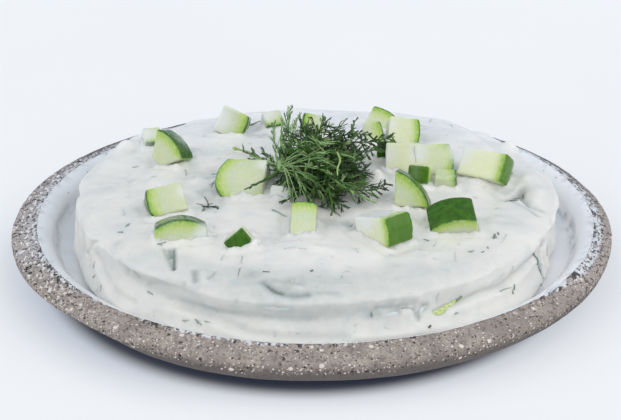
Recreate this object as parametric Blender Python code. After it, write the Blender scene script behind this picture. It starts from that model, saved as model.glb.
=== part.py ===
"""Tzatziki in a hand-thrown stoneware dish, set with diced cucumber and a tuft of dill.

Metres, +Z up. The origin is the middle of the dish's foot, on the table. -Y is the near side, which the
dip was smoothed from. Each sub-part is one closed solid with its own material.
"""

import math
from collections import namedtuple

import bmesh
import bpy
import numpy as np

MM = 0.001
GAP = 0.3 * MM  # clear space between two pieces that touch
SEGMENTS = 80  # round the dish and the dip

# The dish.
DISH_RADIUS = 110 * MM
BEVEL_HEIGHT = 15 * MM  # of the widest line, where the wall turns in to the rim
RIM_HEIGHT = 17.3 * MM
GLAZE_RADIUS = 102.3 * MM  # inner edge of the bare rim
WELL_RADIUS = 93.5 * MM  # where the inner wall meets the floor
WELL_HEIGHT = 8.9 * MM
FLOOR_HEIGHT = 8.0 * MM
FOOT_RADIUS = 72 * MM
INSIDE_SHIFT = 1.3 * MM  # the inside was thrown off centre, so the rim is wider on the left

# The dip: a low cake with upright sides, a spoon's groove round the front and a lip spread below it.
DIP_RADIUS = 87.5 * MM
DIP_CENTRE_HEIGHT = 33.5 * MM
DIP_FALL = 5.4 * MM  # how much lower the top is at FALL_RADIUS
FALL_RADIUS = 80 * MM
SHOULDER = 6.5 * MM  # width of the rounded edge
SHOULDER_HEIGHT = 24.5 * MM  # where that edge starts
GROOVE_HEIGHT = 21.5 * MM
GROOVE_HALF = 2.4 * MM
GROOVE_DEPTH = 3.2 * MM
LIP_REACH = 5.2 * MM
LIP_TOP = 20 * MM
LIP_BOTTOM = 11.5 * MM
LIP_FROM = 0.25  # the groove and the lip fade in between these two values of -sin(angle)
LIP_WHOLE = 0.8
TUFT_SHELTER = 27 * MM  # the top is smooth under the dill

# Swells and dents that the spoon left on top: place, height and half-width.
Swell = namedtuple("Swell", "x y height half")
SWELLS = [
    Swell(-66 * MM, 40 * MM, 2.4 * MM, 10 * MM),
    Swell(-45 * MM, 62 * MM, 1.2 * MM, 11 * MM),
    Swell(-22 * MM, 72 * MM, 1.4 * MM, 9 * MM),
    Swell(-74 * MM, 12 * MM, -1.3 * MM, 9 * MM),
    Swell(-76 * MM, -14 * MM, 1.5 * MM, 11 * MM),
    Swell(-30 * MM, 30 * MM, -1.4 * MM, 9 * MM),
    Swell(-34 * MM, -31 * MM, -1.5 * MM, 8 * MM),
    Swell(-62 * MM, -42 * MM, 0.9 * MM, 10 * MM),
    Swell(2 * MM, -64 * MM, 1.1 * MM, 15 * MM),
    Swell(12 * MM, 70 * MM, -1.0 * MM, 10 * MM),
    Swell(58 * MM, 42 * MM, 1.1 * MM, 12 * MM),
    Swell(60 * MM, -20 * MM, -0.9 * MM, 11 * MM),
    Swell(80 * MM, 6 * MM, 2.6 * MM, 8 * MM),
    Swell(70 * MM, -8 * MM, -2.2 * MM, 6 * MM),
    Swell(68 * MM, -42 * MM, 1.2 * MM, 11 * MM),
]

# The diced cucumber. In a chunk's own frame X runs across the skin, Z points out through the skin and Y
# runs along the cucumber; turn is (about Z, about X, about Y) in degrees, the last applied first.
Chunk = namedtuple("Chunk", "x y z across thick long turn skin_radius inner_share")
WHOLE, SMALL = 16 * MM, 10.5 * MM  # radius of the cucumber that a chunk was cut from


def chunk(place, size, turn, skin_radius=WHOLE, inner_share=1.0):
    """A chunk from its middle and its sides in millimetres; inner_share narrows the side towards the seeds."""
    return Chunk(*(v * MM for v in place), *(v * MM for v in size), turn, skin_radius, inner_share)


CHUNKS = [
    chunk((-53.5, 21, 33), (12, 7.5, 14), (12, 10, 35)),
    chunk((-61.5, 37.5, 31.5), (7, 8, 9), (12, 115, 0)),
    chunk((-52, -24, 32), (10, 13, 11), (10, -40, -100)),
    chunk((-45, -46, 29), (18, 9, 9), (5, -12, 0)),
    chunk((-25.5, -52, 29), (9, 9, 10.5), (-43, 5, 95)),
    chunk((-32, 51, 29.5), (12, 13, 10), (-32, -52, 72)),
    chunk((-24, -10, 32.5), (17, 15, 11), (-15, -58, -95), 12 * MM),
    chunk((-3, -43, 32.5), (9, 13, 9), (3, -48, 5)),
    chunk((26, -50, 33.5), (9, 12, 12), (-38, -3, 80)),
    chunk((31, -26, 34.5), (19, 10, 7), (22, -15, 50), WHOLE, 0.05),
    chunk((49, -39, 31), (16, 9, 12), (5, 18, -14)),
    chunk((33, 11, 33.5), (11, 8, 10), (-5, -42, -80)),
    chunk((46, 10, 33.5), (12, 12.5, 10), (5, -38, 85), SMALL),
    chunk((41, -4, 33), (8, 6.5, 10), (-15, 72, -5)),
    chunk((50.6, -4, 31), (7, 8, 7), (-5, 5, 90)),
    chunk((65, 5, 32.5), (9, 16, 10), (-25, 0, 90)),
    chunk((36, 39, 33), (9, 8.5, 9), (8, -36, 100)),
    chunk((27, 55, 31), (10, 9, 9), (-5, -38, 25)),
    chunk((23.5, 38, 32), (8, 7, 8), (3, -34, 80)),
    chunk((24.8, 18.5, 33.5), (6.5, 8, 9), (-10, 70, -5)),
    chunk((15, 14, 32), (8, 7, 8), (0, 58, 0)),
    chunk((0.5, 45, 33), (9, 9, 8), (-5, 15, -80)),
    chunk((-15.5, 57, 30), (8, 8, 8), (20, 115, 0)),
    chunk((-10.5, -18.5, 34), (8, 8, 8), (-20, 10, 88)),
]
SKIN_STEPS = 6

# The dill: one lumpy heap, with a lobe for each sprig that leans out of it.
TUFT_X, TUFT_Y = 2 * MM, -6 * MM
TUFT_RADIUS = 18.5 * MM
TUFT_HEIGHT = 14.5 * MM
TUFT_SEGMENTS = 40
TUFT_RINGS = 8
TUFT_GAP = 0.6 * MM
# direction in degrees, how far it reaches past the heap, its half-width in degrees
Lobe = namedtuple("Lobe", "angle reach half")
LOBES = [
    Lobe(42, 15 * MM, 13),
    Lobe(112, 13 * MM, 22),
    Lobe(160, 6 * MM, 15),
    Lobe(208, 6 * MM, 14),
    Lobe(255, 3 * MM, 20),
    Lobe(282, 5 * MM, 10),
    Lobe(325, 12 * MM, 14),
]
# the tall sprig that leans up and back on the left, and the fuller side on the right
TUFT_PEAKS = [
    Swell(-11 * MM, 15 * MM, 14 * MM, 8 * MM),
    Swell(10 * MM, 6 * MM, 4 * MM, 9 * MM),
    Swell(22 * MM, 13 * MM, 3.5 * MM, 6 * MM),
]


def clear_scene():
    for obj in list(bpy.data.objects):
        bpy.data.objects.remove(obj, do_unlink=True)


def material(name, colour, roughness, subsurface=0.0):
    made = bpy.data.materials.new(name)
    made.use_nodes = True
    shader = made.node_tree.nodes["Principled BSDF"]
    shader.inputs["Base Color"].default_value = (*colour, 1.0)
    shader.inputs["Roughness"].default_value = roughness
    shader.inputs["Metallic"].default_value = 0.0
    shader.inputs["Subsurface Weight"].default_value = subsurface
    made.diffuse_color = (*colour, 1.0)
    return made


def smoothstep(low, high, value):
    share = min(1.0, max(0.0, (value - low) / (high - low)))
    return share * share * (3 - 2 * share)


def bezier(start, control, end, steps):
    """Points of a quadratic curve after its start, up to and with its end."""
    points = []
    for step in range(1, steps + 1):
        t = step / steps
        weights = ((1 - t) ** 2, 2 * t * (1 - t), t * t)
        points.append(tuple(sum(w * p[axis] for w, p in zip(weights, (start, control, end))) for axis in (0, 1)))
    return points


def add_object(name, bm, materials):
    bmesh.ops.recalc_face_normals(bm, faces=bm.faces)
    mesh = bpy.data.meshes.new(name)
    bm.to_mesh(mesh)
    bm.free()
    mesh.shade_smooth()
    mesh.set_sharp_from_angle(angle=math.radians(35))
    obj = bpy.data.objects.new(name, mesh)
    for used in materials:
        mesh.materials.append(used)
    bpy.context.scene.collection.objects.link(obj)
    return obj


def skin_over(rings, first_tip, last_tip):
    """A closed surface: a fan on the first tip, bands between the rings, and a fan on the last tip."""
    bm = bmesh.new()
    loops = [[bm.verts.new(point) for point in ring] for ring in rings]
    count = len(loops[0])
    for low, high in zip(loops, loops[1:]):
        for i in range(count):
            j = (i + 1) % count
            bm.faces.new((low[i], low[j], high[j], high[i]))
    for tip, ring in ((first_tip, loops[0]), (last_tip, loops[-1])):
        middle = bm.verts.new(tip)
        for i in range(count):
            bm.faces.new((middle, ring[i], ring[(i + 1) % count]))
    return bm


def angles(count):
    return [math.tau * i / count for i in range(count)]


# ---- the dish ----

INNER_WALL = [(GLAZE_RADIUS, RIM_HEIGHT)]
INNER_WALL += bezier(INNER_WALL[-1], (97.5 * MM, 16.2 * MM), (96 * MM, 12 * MM), 3)
INNER_WALL += bezier(INNER_WALL[-1], (95.3 * MM, 9.6 * MM), (WELL_RADIUS, WELL_HEIGHT), 2)
INNER_WALL += [(86 * MM, 8.3 * MM), (0.0, FLOOR_HEIGHT)]


def dish_inside_height(radius):
    """Height of the dish's inner surface at a distance from the inside's own axis."""
    wall = INNER_WALL[::-1]
    return float(np.interp(radius, [p[0] for p in wall], [p[1] for p in wall]))


def build_dish(clay):
    outside = [(FOOT_RADIUS, 0.0)]
    outside += bezier(outside[-1], (110 * MM, 0.6 * MM), (DISH_RADIUS, BEVEL_HEIGHT), 6)
    outside += bezier(outside[-1], (109.4 * MM, 16.9 * MM), (106.4 * MM, 17.0 * MM), 2)
    rings = [ring_at(radius, height, 0.0) for radius, height in outside]
    rings += [ring_at(radius, height, INSIDE_SHIFT) for radius, height in INNER_WALL[:-1]]
    bm = skin_over(rings, (0, 0, 0), (INSIDE_SHIFT, 0, FLOOR_HEIGHT))
    return add_object("dish", bm, [clay])


def ring_at(radius, height, shift):
    return [(shift + radius * math.cos(a), radius * math.sin(a), height) for a in angles(SEGMENTS)]


# ---- the dip ----


def swell_sum(swells, x, y):
    return sum(s.height * math.exp(-((x - s.x) ** 2 + (y - s.y) ** 2) / s.half**2) for s in swells)


def dip_top(x, y):
    """Height of the dip's top surface."""
    out = math.hypot(x - INSIDE_SHIFT, y)
    dome = DIP_CENTRE_HEIGHT - DIP_FALL * (out / FALL_RADIUS) ** 2
    from_tuft = math.hypot(x - TUFT_X, y - TUFT_Y)
    return dome + smoothstep(0.6 * TUFT_SHELTER, 1.3 * TUFT_SHELTER, from_tuft) * swell_sum(SWELLS, x, y)


def dip_side(angle, height):
    """Radius of the dip's side."""
    front = smoothstep(LIP_FROM, LIP_WHOLE, -math.sin(angle))
    radius = DIP_RADIUS + 0.7 * MM * math.sin(3 * angle + 0.6) + 0.5 * MM * math.sin(7 * angle + 2.1)
    radius -= front * GROOVE_DEPTH * math.exp(-(((height - GROOVE_HEIGHT) / GROOVE_HALF) ** 2))
    radius += front * LIP_REACH * (1 - smoothstep(LIP_BOTTOM, LIP_TOP, height))
    return radius


def dip_ring(height):
    return [(INSIDE_SHIFT + dip_side(a, height) * math.cos(a), dip_side(a, height) * math.sin(a), height)
            for a in angles(SEGMENTS)]


def dip_rings():
    foot = []
    for inset in (22 * MM, 3.2 * MM):
        ring = []
        for a in angles(SEGMENTS):
            radius = dip_side(a, LIP_BOTTOM) - inset
            ring.append((INSIDE_SHIFT + radius * math.cos(a), radius * math.sin(a),
                         dish_inside_height(radius) + GAP))
        foot.append(ring)
    sides = [dip_ring(height * MM) for height in (10.6, 12, 14.5, 17, 19, 20.5, 22, 23.3, 24.5)]
    shoulder = []
    for step in range(1, 5):
        turn = math.pi / 2 * step / 4
        ring = []
        for a in angles(SEGMENTS):
            radius = dip_side(a, SHOULDER_HEIGHT) - SHOULDER * (1 - math.cos(turn))
            x, y = INSIDE_SHIFT + radius * math.cos(a), radius * math.sin(a)
            ring.append((x, y, SHOULDER_HEIGHT + (dip_top(x, y) - SHOULDER_HEIGHT) * math.sin(turn)))
        shoulder.append(ring)
    top = []
    for share in (0.9, 0.79, 0.68, 0.57, 0.46, 0.35, 0.23, 0.11):
        ring = []
        for a in angles(SEGMENTS):
            radius = share * (DIP_RADIUS - SHOULDER)
            x, y = INSIDE_SHIFT + radius * math.cos(a), radius * math.sin(a)
            ring.append((x, y, dip_top(x, y)))
        top.append(ring)
    return foot + sides + shoulder + top


def build_dip(yoghurt, cutters):
    middle = (INSIDE_SHIFT, 0)
    bm = skin_over(dip_rings(), (*middle, FLOOR_HEIGHT + GAP), (*middle, dip_top(*middle)))
    dip = add_object("tzatziki", bm, [yoghurt])
    cut(dip, cutters)
    return dip


def cut(obj, cutters):
    """Opens a hole in obj round each cutter."""
    modifier = obj.modifiers.new("room for the cucumber", "BOOLEAN")
    modifier.operation = "DIFFERENCE"
    modifier.solver = "EXACT"
    modifier.operand_type = "COLLECTION"
    modifier.collection = cutters


# ---- the cucumber ----


def build_chunk(name, shape, grow, materials):
    """A prism along Y: flat cut sides, and the skin's arc on top. grow makes it larger on every side."""
    half, half_inner = shape.across / 2 + grow, shape.across / 2 * shape.inner_share + grow
    bottom, top = -shape.thick / 2 - grow, shape.thick / 2 + grow
    radius = shape.skin_radius + grow
    reach = math.asin(min(half / radius, 0.98))
    outline = [(half_inner, bottom), (-half_inner, bottom)]
    for step in range(SKIN_STEPS + 1):
        turn = reach * (2 * step / SKIN_STEPS - 1)
        outline.append((half * math.sin(turn) / math.sin(reach), top + radius * (math.cos(turn) - math.cos(reach))))
    bm = bmesh.new()
    ends = [[bm.verts.new((x, y, z)) for x, z in outline] for y in (-shape.long / 2 - grow, shape.long / 2 + grow)]
    for end in ends:
        bm.faces.new(end)
    count = len(outline)
    for i in range(count):
        j = (i + 1) % count
        side = bm.faces.new((ends[0][i], ends[0][j], ends[1][j], ends[1][i]))
        side.material_index = 1 if 2 <= i < count - 1 else 0
    obj = add_object(name, bm, materials)
    obj.location = (shape.x, shape.y, shape.z)
    obj.rotation_mode = "YXZ"
    about_z, about_x, about_y = (math.radians(v) for v in shape.turn)
    obj.rotation_euler = (about_x, about_y, about_z)
    return obj


def build_cucumber(flesh, skin):
    return [build_chunk(f"cucumber_{n:02d}", shape, 0.0, [flesh, skin]) for n, shape in enumerate(CHUNKS, 1)]


def build_cutters():
    cutters = bpy.data.collections.new("room for the cucumber")
    bpy.context.scene.collection.children.link(cutters)
    for number, shape in enumerate(CHUNKS, 1):
        cutter = build_chunk(f"cutter_{number:02d}", shape, GAP, [])
        bpy.context.scene.collection.objects.unlink(cutter)
        cutters.objects.link(cutter)
        cutter.hide_render = True
        cutter.display_type = "WIRE"
    return cutters


# ---- the dill ----


def tuft_reach(angle):
    """How far the heap reaches from its middle in this direction."""
    reach = TUFT_RADIUS + 1.2 * MM * math.sin(5 * angle)
    for lobe in LOBES:
        away = math.remainder(angle - math.radians(lobe.angle), math.tau)
        reach += lobe.reach * math.exp(-((away / math.radians(lobe.half)) ** 2))
    return reach


def tuft_ring(share, upper):
    ring = []
    for a in angles(TUFT_SEGMENTS):
        radius = share * tuft_reach(a)
        x, y = TUFT_X + radius * math.cos(a), TUFT_Y + radius * math.sin(a)
        ring.append((x, y, tuft_height(x, y, share, a) if upper else dip_top(x, y) + TUFT_GAP))
    return ring


def tuft_height(x, y, share, angle):
    lumps = 1 + 0.09 * math.sin(6 * angle + 9 * share) * share
    crown = TUFT_HEIGHT * lumps * (1 - share**2.4) + swell_sum(TUFT_PEAKS, x, y) * (1 - share**6)
    return dip_top(x, y) + TUFT_GAP + 1.6 * MM * (1 - share**8) + crown


def build_dill(green, cutters):
    shares = [step / TUFT_RINGS for step in range(1, TUFT_RINGS)]
    rings = [tuft_ring(share, upper=False) for share in (0.5, 1.0)]
    rings += [tuft_ring(share, upper=True) for share in (0.97, *reversed(shares))]
    middle = (TUFT_X, TUFT_Y)
    bottom = dip_top(*middle) + TUFT_GAP
    bm = skin_over(rings, (*middle, bottom), (*middle, tuft_height(*middle, 0.0, 0.0)))
    tuft = add_object("dill_tuft", bm, [green])
    cut(tuft, cutters)
    return tuft


def main():
    clear_scene()
    clay = material("bare stoneware", (0.33, 0.27, 0.23), 0.85)
    yoghurt = material("thick yoghurt", (0.86, 0.87, 0.85), 0.35, 0.3)
    flesh = material("cucumber flesh", (0.66, 0.76, 0.42), 0.3, 0.2)
    skin = material("cucumber skin", (0.08, 0.22, 0.03), 0.3)
    green = material("dill", (0.05, 0.14, 0.03), 0.6)
    build_dish(clay)
    build_cucumber(flesh, skin)
    cutters = build_cutters()
    build_dip(yoghurt, cutters)
    build_dill(green, cutters)


main()
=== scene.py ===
# %% [markdown]
# # A dish of tzatziki, dressed in Blender
#
# The solids of this part are already made and packed: a turned stoneware dish, a low cake of yoghurt dip,
# cucumber dice and a tuft of dill. They are plain on purpose. This lesson gives each of them the surface
# and the small forms of the real thing, without moving or resizing anything.
#
# We start by loading the packed solids as a fixed frame, because the dressed model has to stay inside the
# box that they fill.

# %% Load the frame
import math

import bpy
import numpy as np
from mathutils import Matrix, Vector, noise
from mathutils.bvhtree import BVHTree


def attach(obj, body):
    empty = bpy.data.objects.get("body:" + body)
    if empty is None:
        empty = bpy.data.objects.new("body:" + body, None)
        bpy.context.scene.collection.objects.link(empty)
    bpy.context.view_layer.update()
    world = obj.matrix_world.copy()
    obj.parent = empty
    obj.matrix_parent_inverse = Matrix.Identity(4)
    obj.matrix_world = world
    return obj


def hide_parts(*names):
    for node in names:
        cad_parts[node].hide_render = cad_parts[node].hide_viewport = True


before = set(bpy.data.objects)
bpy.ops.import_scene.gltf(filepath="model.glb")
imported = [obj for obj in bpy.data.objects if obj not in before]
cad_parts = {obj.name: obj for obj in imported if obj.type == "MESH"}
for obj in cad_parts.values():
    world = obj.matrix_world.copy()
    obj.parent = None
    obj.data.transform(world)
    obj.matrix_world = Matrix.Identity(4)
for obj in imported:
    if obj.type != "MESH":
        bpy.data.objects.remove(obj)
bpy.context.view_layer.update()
MM = 0.001

# %% [markdown]
# ## Numbers that the solids were made from
#
# The dish was thrown on a wheel, so one outline turned about an axis describes it. The dip is a round cake
# with a smooth top, and its side is described by a radius for each angle and height. We repeat those few
# values here in millimetres, so that the finer surfaces made below lie on the plain ones. A few differ on
# purpose, because the dressed dip was studied more closely: its groove is lower, wider and far shallower than
# the solid's and climbs at the left, its top falls away at the back left, and the dish's inside is set back.

# %% The dish and the dip in numbers
# the dish: its widest ring and its rim, the edge of the glaze, the well, the floor and the foot
DISH_RADIUS, BEVEL_HEIGHT, RIM_HEIGHT = 110.0, 15.0, 17.3
GLAZE_RADIUS, WELL_RADIUS, WELL_HEIGHT = 102.3, 93.5, 8.9
FLOOR_HEIGHT, FOOT_RADIUS = 8.0, 72.0
# the inside was thrown off centre, a little to the right and to the back
INSIDE_SHIFT, INSIDE_BACK = 1.3, 1.5
# the dip: its side, its domed top that falls away at the back left, and the soft shoulder between them
DIP_RADIUS, DIP_CENTRE_HEIGHT, DIP_FALL, FALL_RADIUS, BACK_FALL = 87.5, 33.5, 5.4, 80.0, 2.0
SHOULDER, SHOULDER_HEIGHT = 6.5, 24.5
# the spoon's groove round the front, which climbs at the left, and the lip below it
GROOVE_HEIGHT, GROOVE_HALF, GROOVE_DEPTH, GROOVE_CLIMB = 19.6, 2.9, 0.5, 3.6
LIP_REACH, LIP_TOP, LIP_BOTTOM = 5.2, 20.0, 11.5
# where the dill stands, and how far from it the swells begin and reach their full height
TUFT, SHELTER = (2.0, -6.0), (16.2, 35.1)
print("dish", 2 * DISH_RADIUS, "mm across, dip", 2 * DIP_RADIUS, "mm across")

# %% [markdown]
# The spoon left soft swells and dents on top of the dip. Each is a round bump that fades out smoothly, given
# by its place, its height and its half-width. The first fifteen are in the solid too, and the rest are
# smaller ones that only the dressed surface has.

# %% Swells on top of the dip
SWELLS = [
    (-66, 40, 2.4, 10), (-45, 62, 1.2, 11), (-22, 72, 1.4, 9), (-74, 12, -1.3, 9), (-76, -14, 1.5, 11),
    (-30, 30, -1.4, 9), (-34, -31, -1.5, 8), (-62, -42, 0.9, 10), (2, -64, 1.1, 15), (12, 70, -1.0, 10),
    (58, 42, 1.1, 12), (60, -20, -0.9, 11), (80, 6, 2.6, 8), (70, -8, -2.2, 6), (68, -42, 1.2, 11),
]
FINE_SWELLS = [
    (-73, 36, 2.4, 4), (-67, 42, -0.9, 3), (-63, 48, 1.9, 3), (-78, 22, 1.2, 4), (-38, 8, -2.0, 6),
    (-36, -20, -1.6, 5), (-58, 2, 0.8, 9), (-20, 44, -1.0, 6), (-8, 58, 0.7, 7), (16, -38, -1.2, 5),
    (40, -36, -1.0, 4), (0, -54, 0.6, 8), (52, 24, 0.7, 8), (60, -4, 0.7, 6), (44, -14, -0.8, 5),
    (84, -7, 1.6, 4), (-45, -36, 0.5, 5), (30, 66, 0.7, 8), (-56, 50, 0.8, 8), (18, -62, 0.5, 9),
    (66, 57, -1.6, 5), (77.5, 38, 3.8, 3.6), (66, 50, 1.2, 5), (56, 66, 0.8, 5), (52, 68, 0.8, 6),
    (-49, 70, 0.9, 3), (-31, 79, 0.9, 4), (-6, 83, 1.4, 6),
    (-20.0, -56.5, 1.8, 2.8), (-84, 2, 1.3, 4.5), (-82, -14, -1.0, 4), (-79, -27, 1.1, 4.5), (84, 18, 0.9, 4),
    (-55, 65, -2.7, 4.4), (-43.5, 75, -2.8, 4.0), (-20.5, 81, -2.8, 5.0),
    (-53, -48, 1.8, 4), (-49, 24, 0.9, 4), (22, -45, 0.9, 4), (-23, -49, 1.2, 4), (56, 8, 0.9, 4),
]


def smoothstep(low, high, value):
    share = np.clip((value - low) / (high - low), 0.0, 1.0)
    return share * share * (3 - 2 * share)


def swell_sum(swells, x, y):
    return sum(height * np.exp(-((x - sx) ** 2 + (y - sy) ** 2) / half**2) for sx, sy, height, half in swells)


print(len(SWELLS), "swells and", len(FINE_SWELLS), "finer ones")

# %% [markdown]
# The dip's whole shape is two formulas: a height for each place on top, and a radius for each angle and
# height on the side. Everything that lies on the dip later asks them where its surface is.

# %% The dip's top and side


def dip_top(x, y):
    """Height of the dip's smooth top, in millimetres."""
    dome = DIP_CENTRE_HEIGHT - DIP_FALL * ((x - INSIDE_SHIFT) ** 2 + y**2) / FALL_RADIUS**2
    dome = dome - BACK_FALL * smoothstep(30, 80, y) * smoothstep(45, 5, x)
    clear = smoothstep(*SHELTER, np.hypot(x - TUFT[0], y - TUFT[1]))
    # the peak that the spoon drew up beside the dill, and the dent at its foot
    peak = 4.2 * np.exp(-((x - 23.5) ** 2 / 11 + (y + 5) ** 2 / 16))
    dent = 1.4 * np.exp(-((x - 17.5) ** 2 + (y + 3) ** 2) / 9)
    return dome + clear * (swell_sum(SWELLS, x, y) + swell_sum(FINE_SWELLS, x, y)) + (peak - dent)


def dip_side(angle, height):
    """Radius of the dip's smooth side, in millimetres, at an angle in radians and a height."""
    front = smoothstep(0.25, 0.8, -np.sin(angle))
    # the cake isn't quite round, and its lip starts now higher and now lower
    radius = DIP_RADIUS + 0.7 * np.sin(3 * angle + 0.6) + 0.5 * np.sin(7 * angle + 2.1) + 0.3 * np.sin(13 * angle + 0.9)
    uneven = height + front * (0.8 * np.sin(6 * angle + 0.4) + 0.6 * np.sin(13 * angle + 2))
    # the groove fades out towards the right
    groove = GROOVE_HEIGHT + GROOVE_CLIMB * smoothstep(0.5, 0.85, -np.cos(angle))
    front_groove = front * (1 - 0.75 * smoothstep(0.25, 0.7, np.cos(angle)))
    radius = radius - front_groove * GROOVE_DEPTH * np.exp(-(((height - groove) / GROOVE_HALF) ** 2))
    # two low skirts of yoghurt that ran out to the front left and the front right
    turned = np.degrees(angle)
    skirt = 2.8 * np.exp(-(((turned - 218) / 20) ** 2)) + 3.0 * np.exp(-(((turned - 318) / 20) ** 2))
    skirt = skirt * (1 - smoothstep(9.5, 15.5, height))
    radius = radius + front * LIP_REACH * (1 - smoothstep(LIP_BOTTOM, LIP_TOP + 1.0, uneven)) + skirt
    # nowhere does it run into the dish's wall
    return np.minimum(radius, np.interp(height, (8.5, 9.6, 12.0, 16.2, 18.0), (91.5, 93.3, 94.6, 96.4, 110.0)))


print("top of the dip at its middle:", round(float(dip_top(INSIDE_SHIFT, 0.0)), 1), "mm")

# %% [markdown]
# ## Tools for making meshes
#
# Blender's modifiers could roughen a surface, but we want to say exactly where it swells and where it stays
# plain. So large surfaces are grids of points here, and the work is done on whole arrays of points at once.
# `noise_at` gives each point a soft random value. Feeding it stretched points gives streaks, not blobs.

# %% Noise and resampling


def noise_at(points, size, octaves=3, seed=0.0):
    """Soft random values between about -1 and 1, with features of the given size in millimetres."""
    scaled = np.asarray(points, float) / size + seed * 17.3
    return np.array([noise.fractal(p, 1.0, 2.0, octaves) for p in scaled])


def resample(outline, step):
    """The outline's points again, evenly spaced at about the given step."""
    outline = np.asarray(outline, float)
    reach = np.concatenate([[0], np.cumsum(np.linalg.norm(np.diff(outline, axis=0), axis=1))])
    wanted = np.linspace(0, reach[-1], max(2, int(round(reach[-1] / step)) + 1))
    return np.stack([np.interp(wanted, reach, outline[:, axis]) for axis in range(outline.shape[1])], 1)


def bezier(start, control, end, steps):
    """Points of a quadratic curve after its start, up to and with its end."""
    t = np.linspace(0, 1, steps + 1)[1:, None]
    return ((1 - t) ** 2 * np.array(start) + 2 * t * (1 - t) * np.array(control) + t * t * np.array(end)).tolist()


print("noise at one point:", noise_at([(3, 4, 5)], 2.0).round(3))

# %% Points and faces into objects


def new_object(name, points, faces, finish=None, smooth=True):
    """An object from points in millimetres and faces as rows of point numbers."""
    mesh = bpy.data.meshes.new(name)
    mesh.from_pydata((np.asarray(points) * MM).tolist(), [], faces)
    if finish:
        mesh.materials.append(finish)
    if smooth:
        mesh.shade_smooth()
    obj = bpy.data.objects.new(name, mesh)
    bpy.context.scene.collection.objects.link(obj)
    return obj


def paint(obj, name, values):
    """Stores one number for each point, for a material to read."""
    layer = obj.data.attributes.new(name, "FLOAT", "POINT")
    layer.data.foreach_set("value", np.asarray(values, np.float32))


def grid_faces(rings, segments):
    """Four-sided faces between rings of points that each run once round."""
    first = np.arange(rings - 1)[:, None] * segments + np.arange(segments)[None, :]
    after = np.arange(rings - 1)[:, None] * segments + (np.arange(segments)[None, :] + 1) % segments
    return np.stack([first, after, after + segments, first + segments], -1).reshape(-1, 4).tolist()


def closed_faces(rings, segments):
    """Those faces, and a fan on each end ring round one of the two points that follow the grid's own."""
    faces = grid_faces(rings, segments)
    count, last = rings * segments, (rings - 1) * segments
    for i in range(segments):
        j = (i + 1) % segments
        faces.append([count, j, i])
        faces.append([count + 1, last + i, last + j])
    return faces


def capped_faces(rings, segments):
    """Those faces, and one flat face over each end ring."""
    last_ring = range((rings - 1) * segments, rings * segments)
    return grid_faces(rings, segments) + [list(reversed(range(segments))), list(last_ring)]


def grid_normals(grid):
    """Unit normals of a grid of points with the shape (rings, segments, 3), pointing out of the solid."""
    around = np.roll(grid, -1, 1) - np.roll(grid, 1, 1)
    along = np.gradient(grid, axis=0)
    normal = np.cross(around, along)
    return normal / np.maximum(np.linalg.norm(normal, axis=-1, keepdims=True), 1e-9)


print("faces on 3 rings of 4 points:", [len(kind(3, 4)) for kind in (grid_faces, closed_faces, capped_faces)])

# %% [markdown]
# ## Writing materials as sums
#
# A Blender material is a graph of nodes. Wiring it by hand takes many lines, so two small classes help. A
# `Wire` is one output of a node, and `+ - * /` on wires add Math nodes. A `Finish` is one material: its
# `node` method adds any other node, from its type, its settings and its sockets. Most colours here are made
# as a painter would, from a base tone with thin layers over it, each kept in place by its own mask.

# %% Colours and sockets


def srgb(red, green, blue):
    """A colour as a screen shows it, 0 to 255, turned into the linear light that Blender works in."""
    shares = (value / 255 for value in (red, green, blue))
    return (*(s / 12.92 if s <= 0.04045 else ((s + 0.055) / 1.055) ** 2.4 for s in shares), 1.0)


def find(sockets, name):
    return next((s for s in sockets if s.identifier == name), None) or sockets[name]


def plug(value, socket):
    """Links a wire to a socket, or sets the socket to a value."""
    if isinstance(value, Wire):
        socket.id_data.links.new(value.socket, socket)
    else:
        socket.default_value = value


print("mid grey on a screen is", round(srgb(128, 128, 128)[0], 3), "in linear light")

# %% A wire to reckon with


class Wire:
    """One output of a shader node, to reckon with."""

    def __init__(self, socket):
        self.socket = socket

    def reckon(self, operation, *values):
        made = self.socket.id_data.nodes.new("ShaderNodeMath")
        made.operation = operation
        for place, value in zip(made.inputs, values):
            plug(value, place)
        return Wire(made.outputs[0])

    def __add__(self, other):
        return self.reckon("ADD", self, other)

    def __sub__(self, other):
        return self.reckon("SUBTRACT", self, other)

    def __rsub__(self, other):
        return self.reckon("SUBTRACT", other, self)

    def __mul__(self, other):
        return self.reckon("MULTIPLY", self, other)

    def __truediv__(self, other):
        return self.reckon("DIVIDE", self, other)

    def __pow__(self, other):
        return self.reckon("POWER", self, other)

    __radd__, __rmul__ = __add__, __mul__

    def larger(self, other):
        return self.reckon("MAXIMUM", self, other)

    def ramp(self, low, high, to_low=0.0, to_high=1.0):
        """Smoothly from to_low, where this is low, to to_high, where it is high."""
        made = self.socket.id_data.nodes.new("ShaderNodeMapRange")
        made.interpolation_type = "SMOOTHSTEP"
        names = ("Value", "From Min", "From Max", "To Min", "To Max")
        for name, value in zip(names, (self, low, high, to_low, to_high)):
            plug(value, made.inputs[name])
        return Wire(made.outputs["Result"])


print("a wire can", [name for name in vars(Wire) if name != "__init__" and callable(getattr(Wire, name))])

# %% A finish to build


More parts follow.
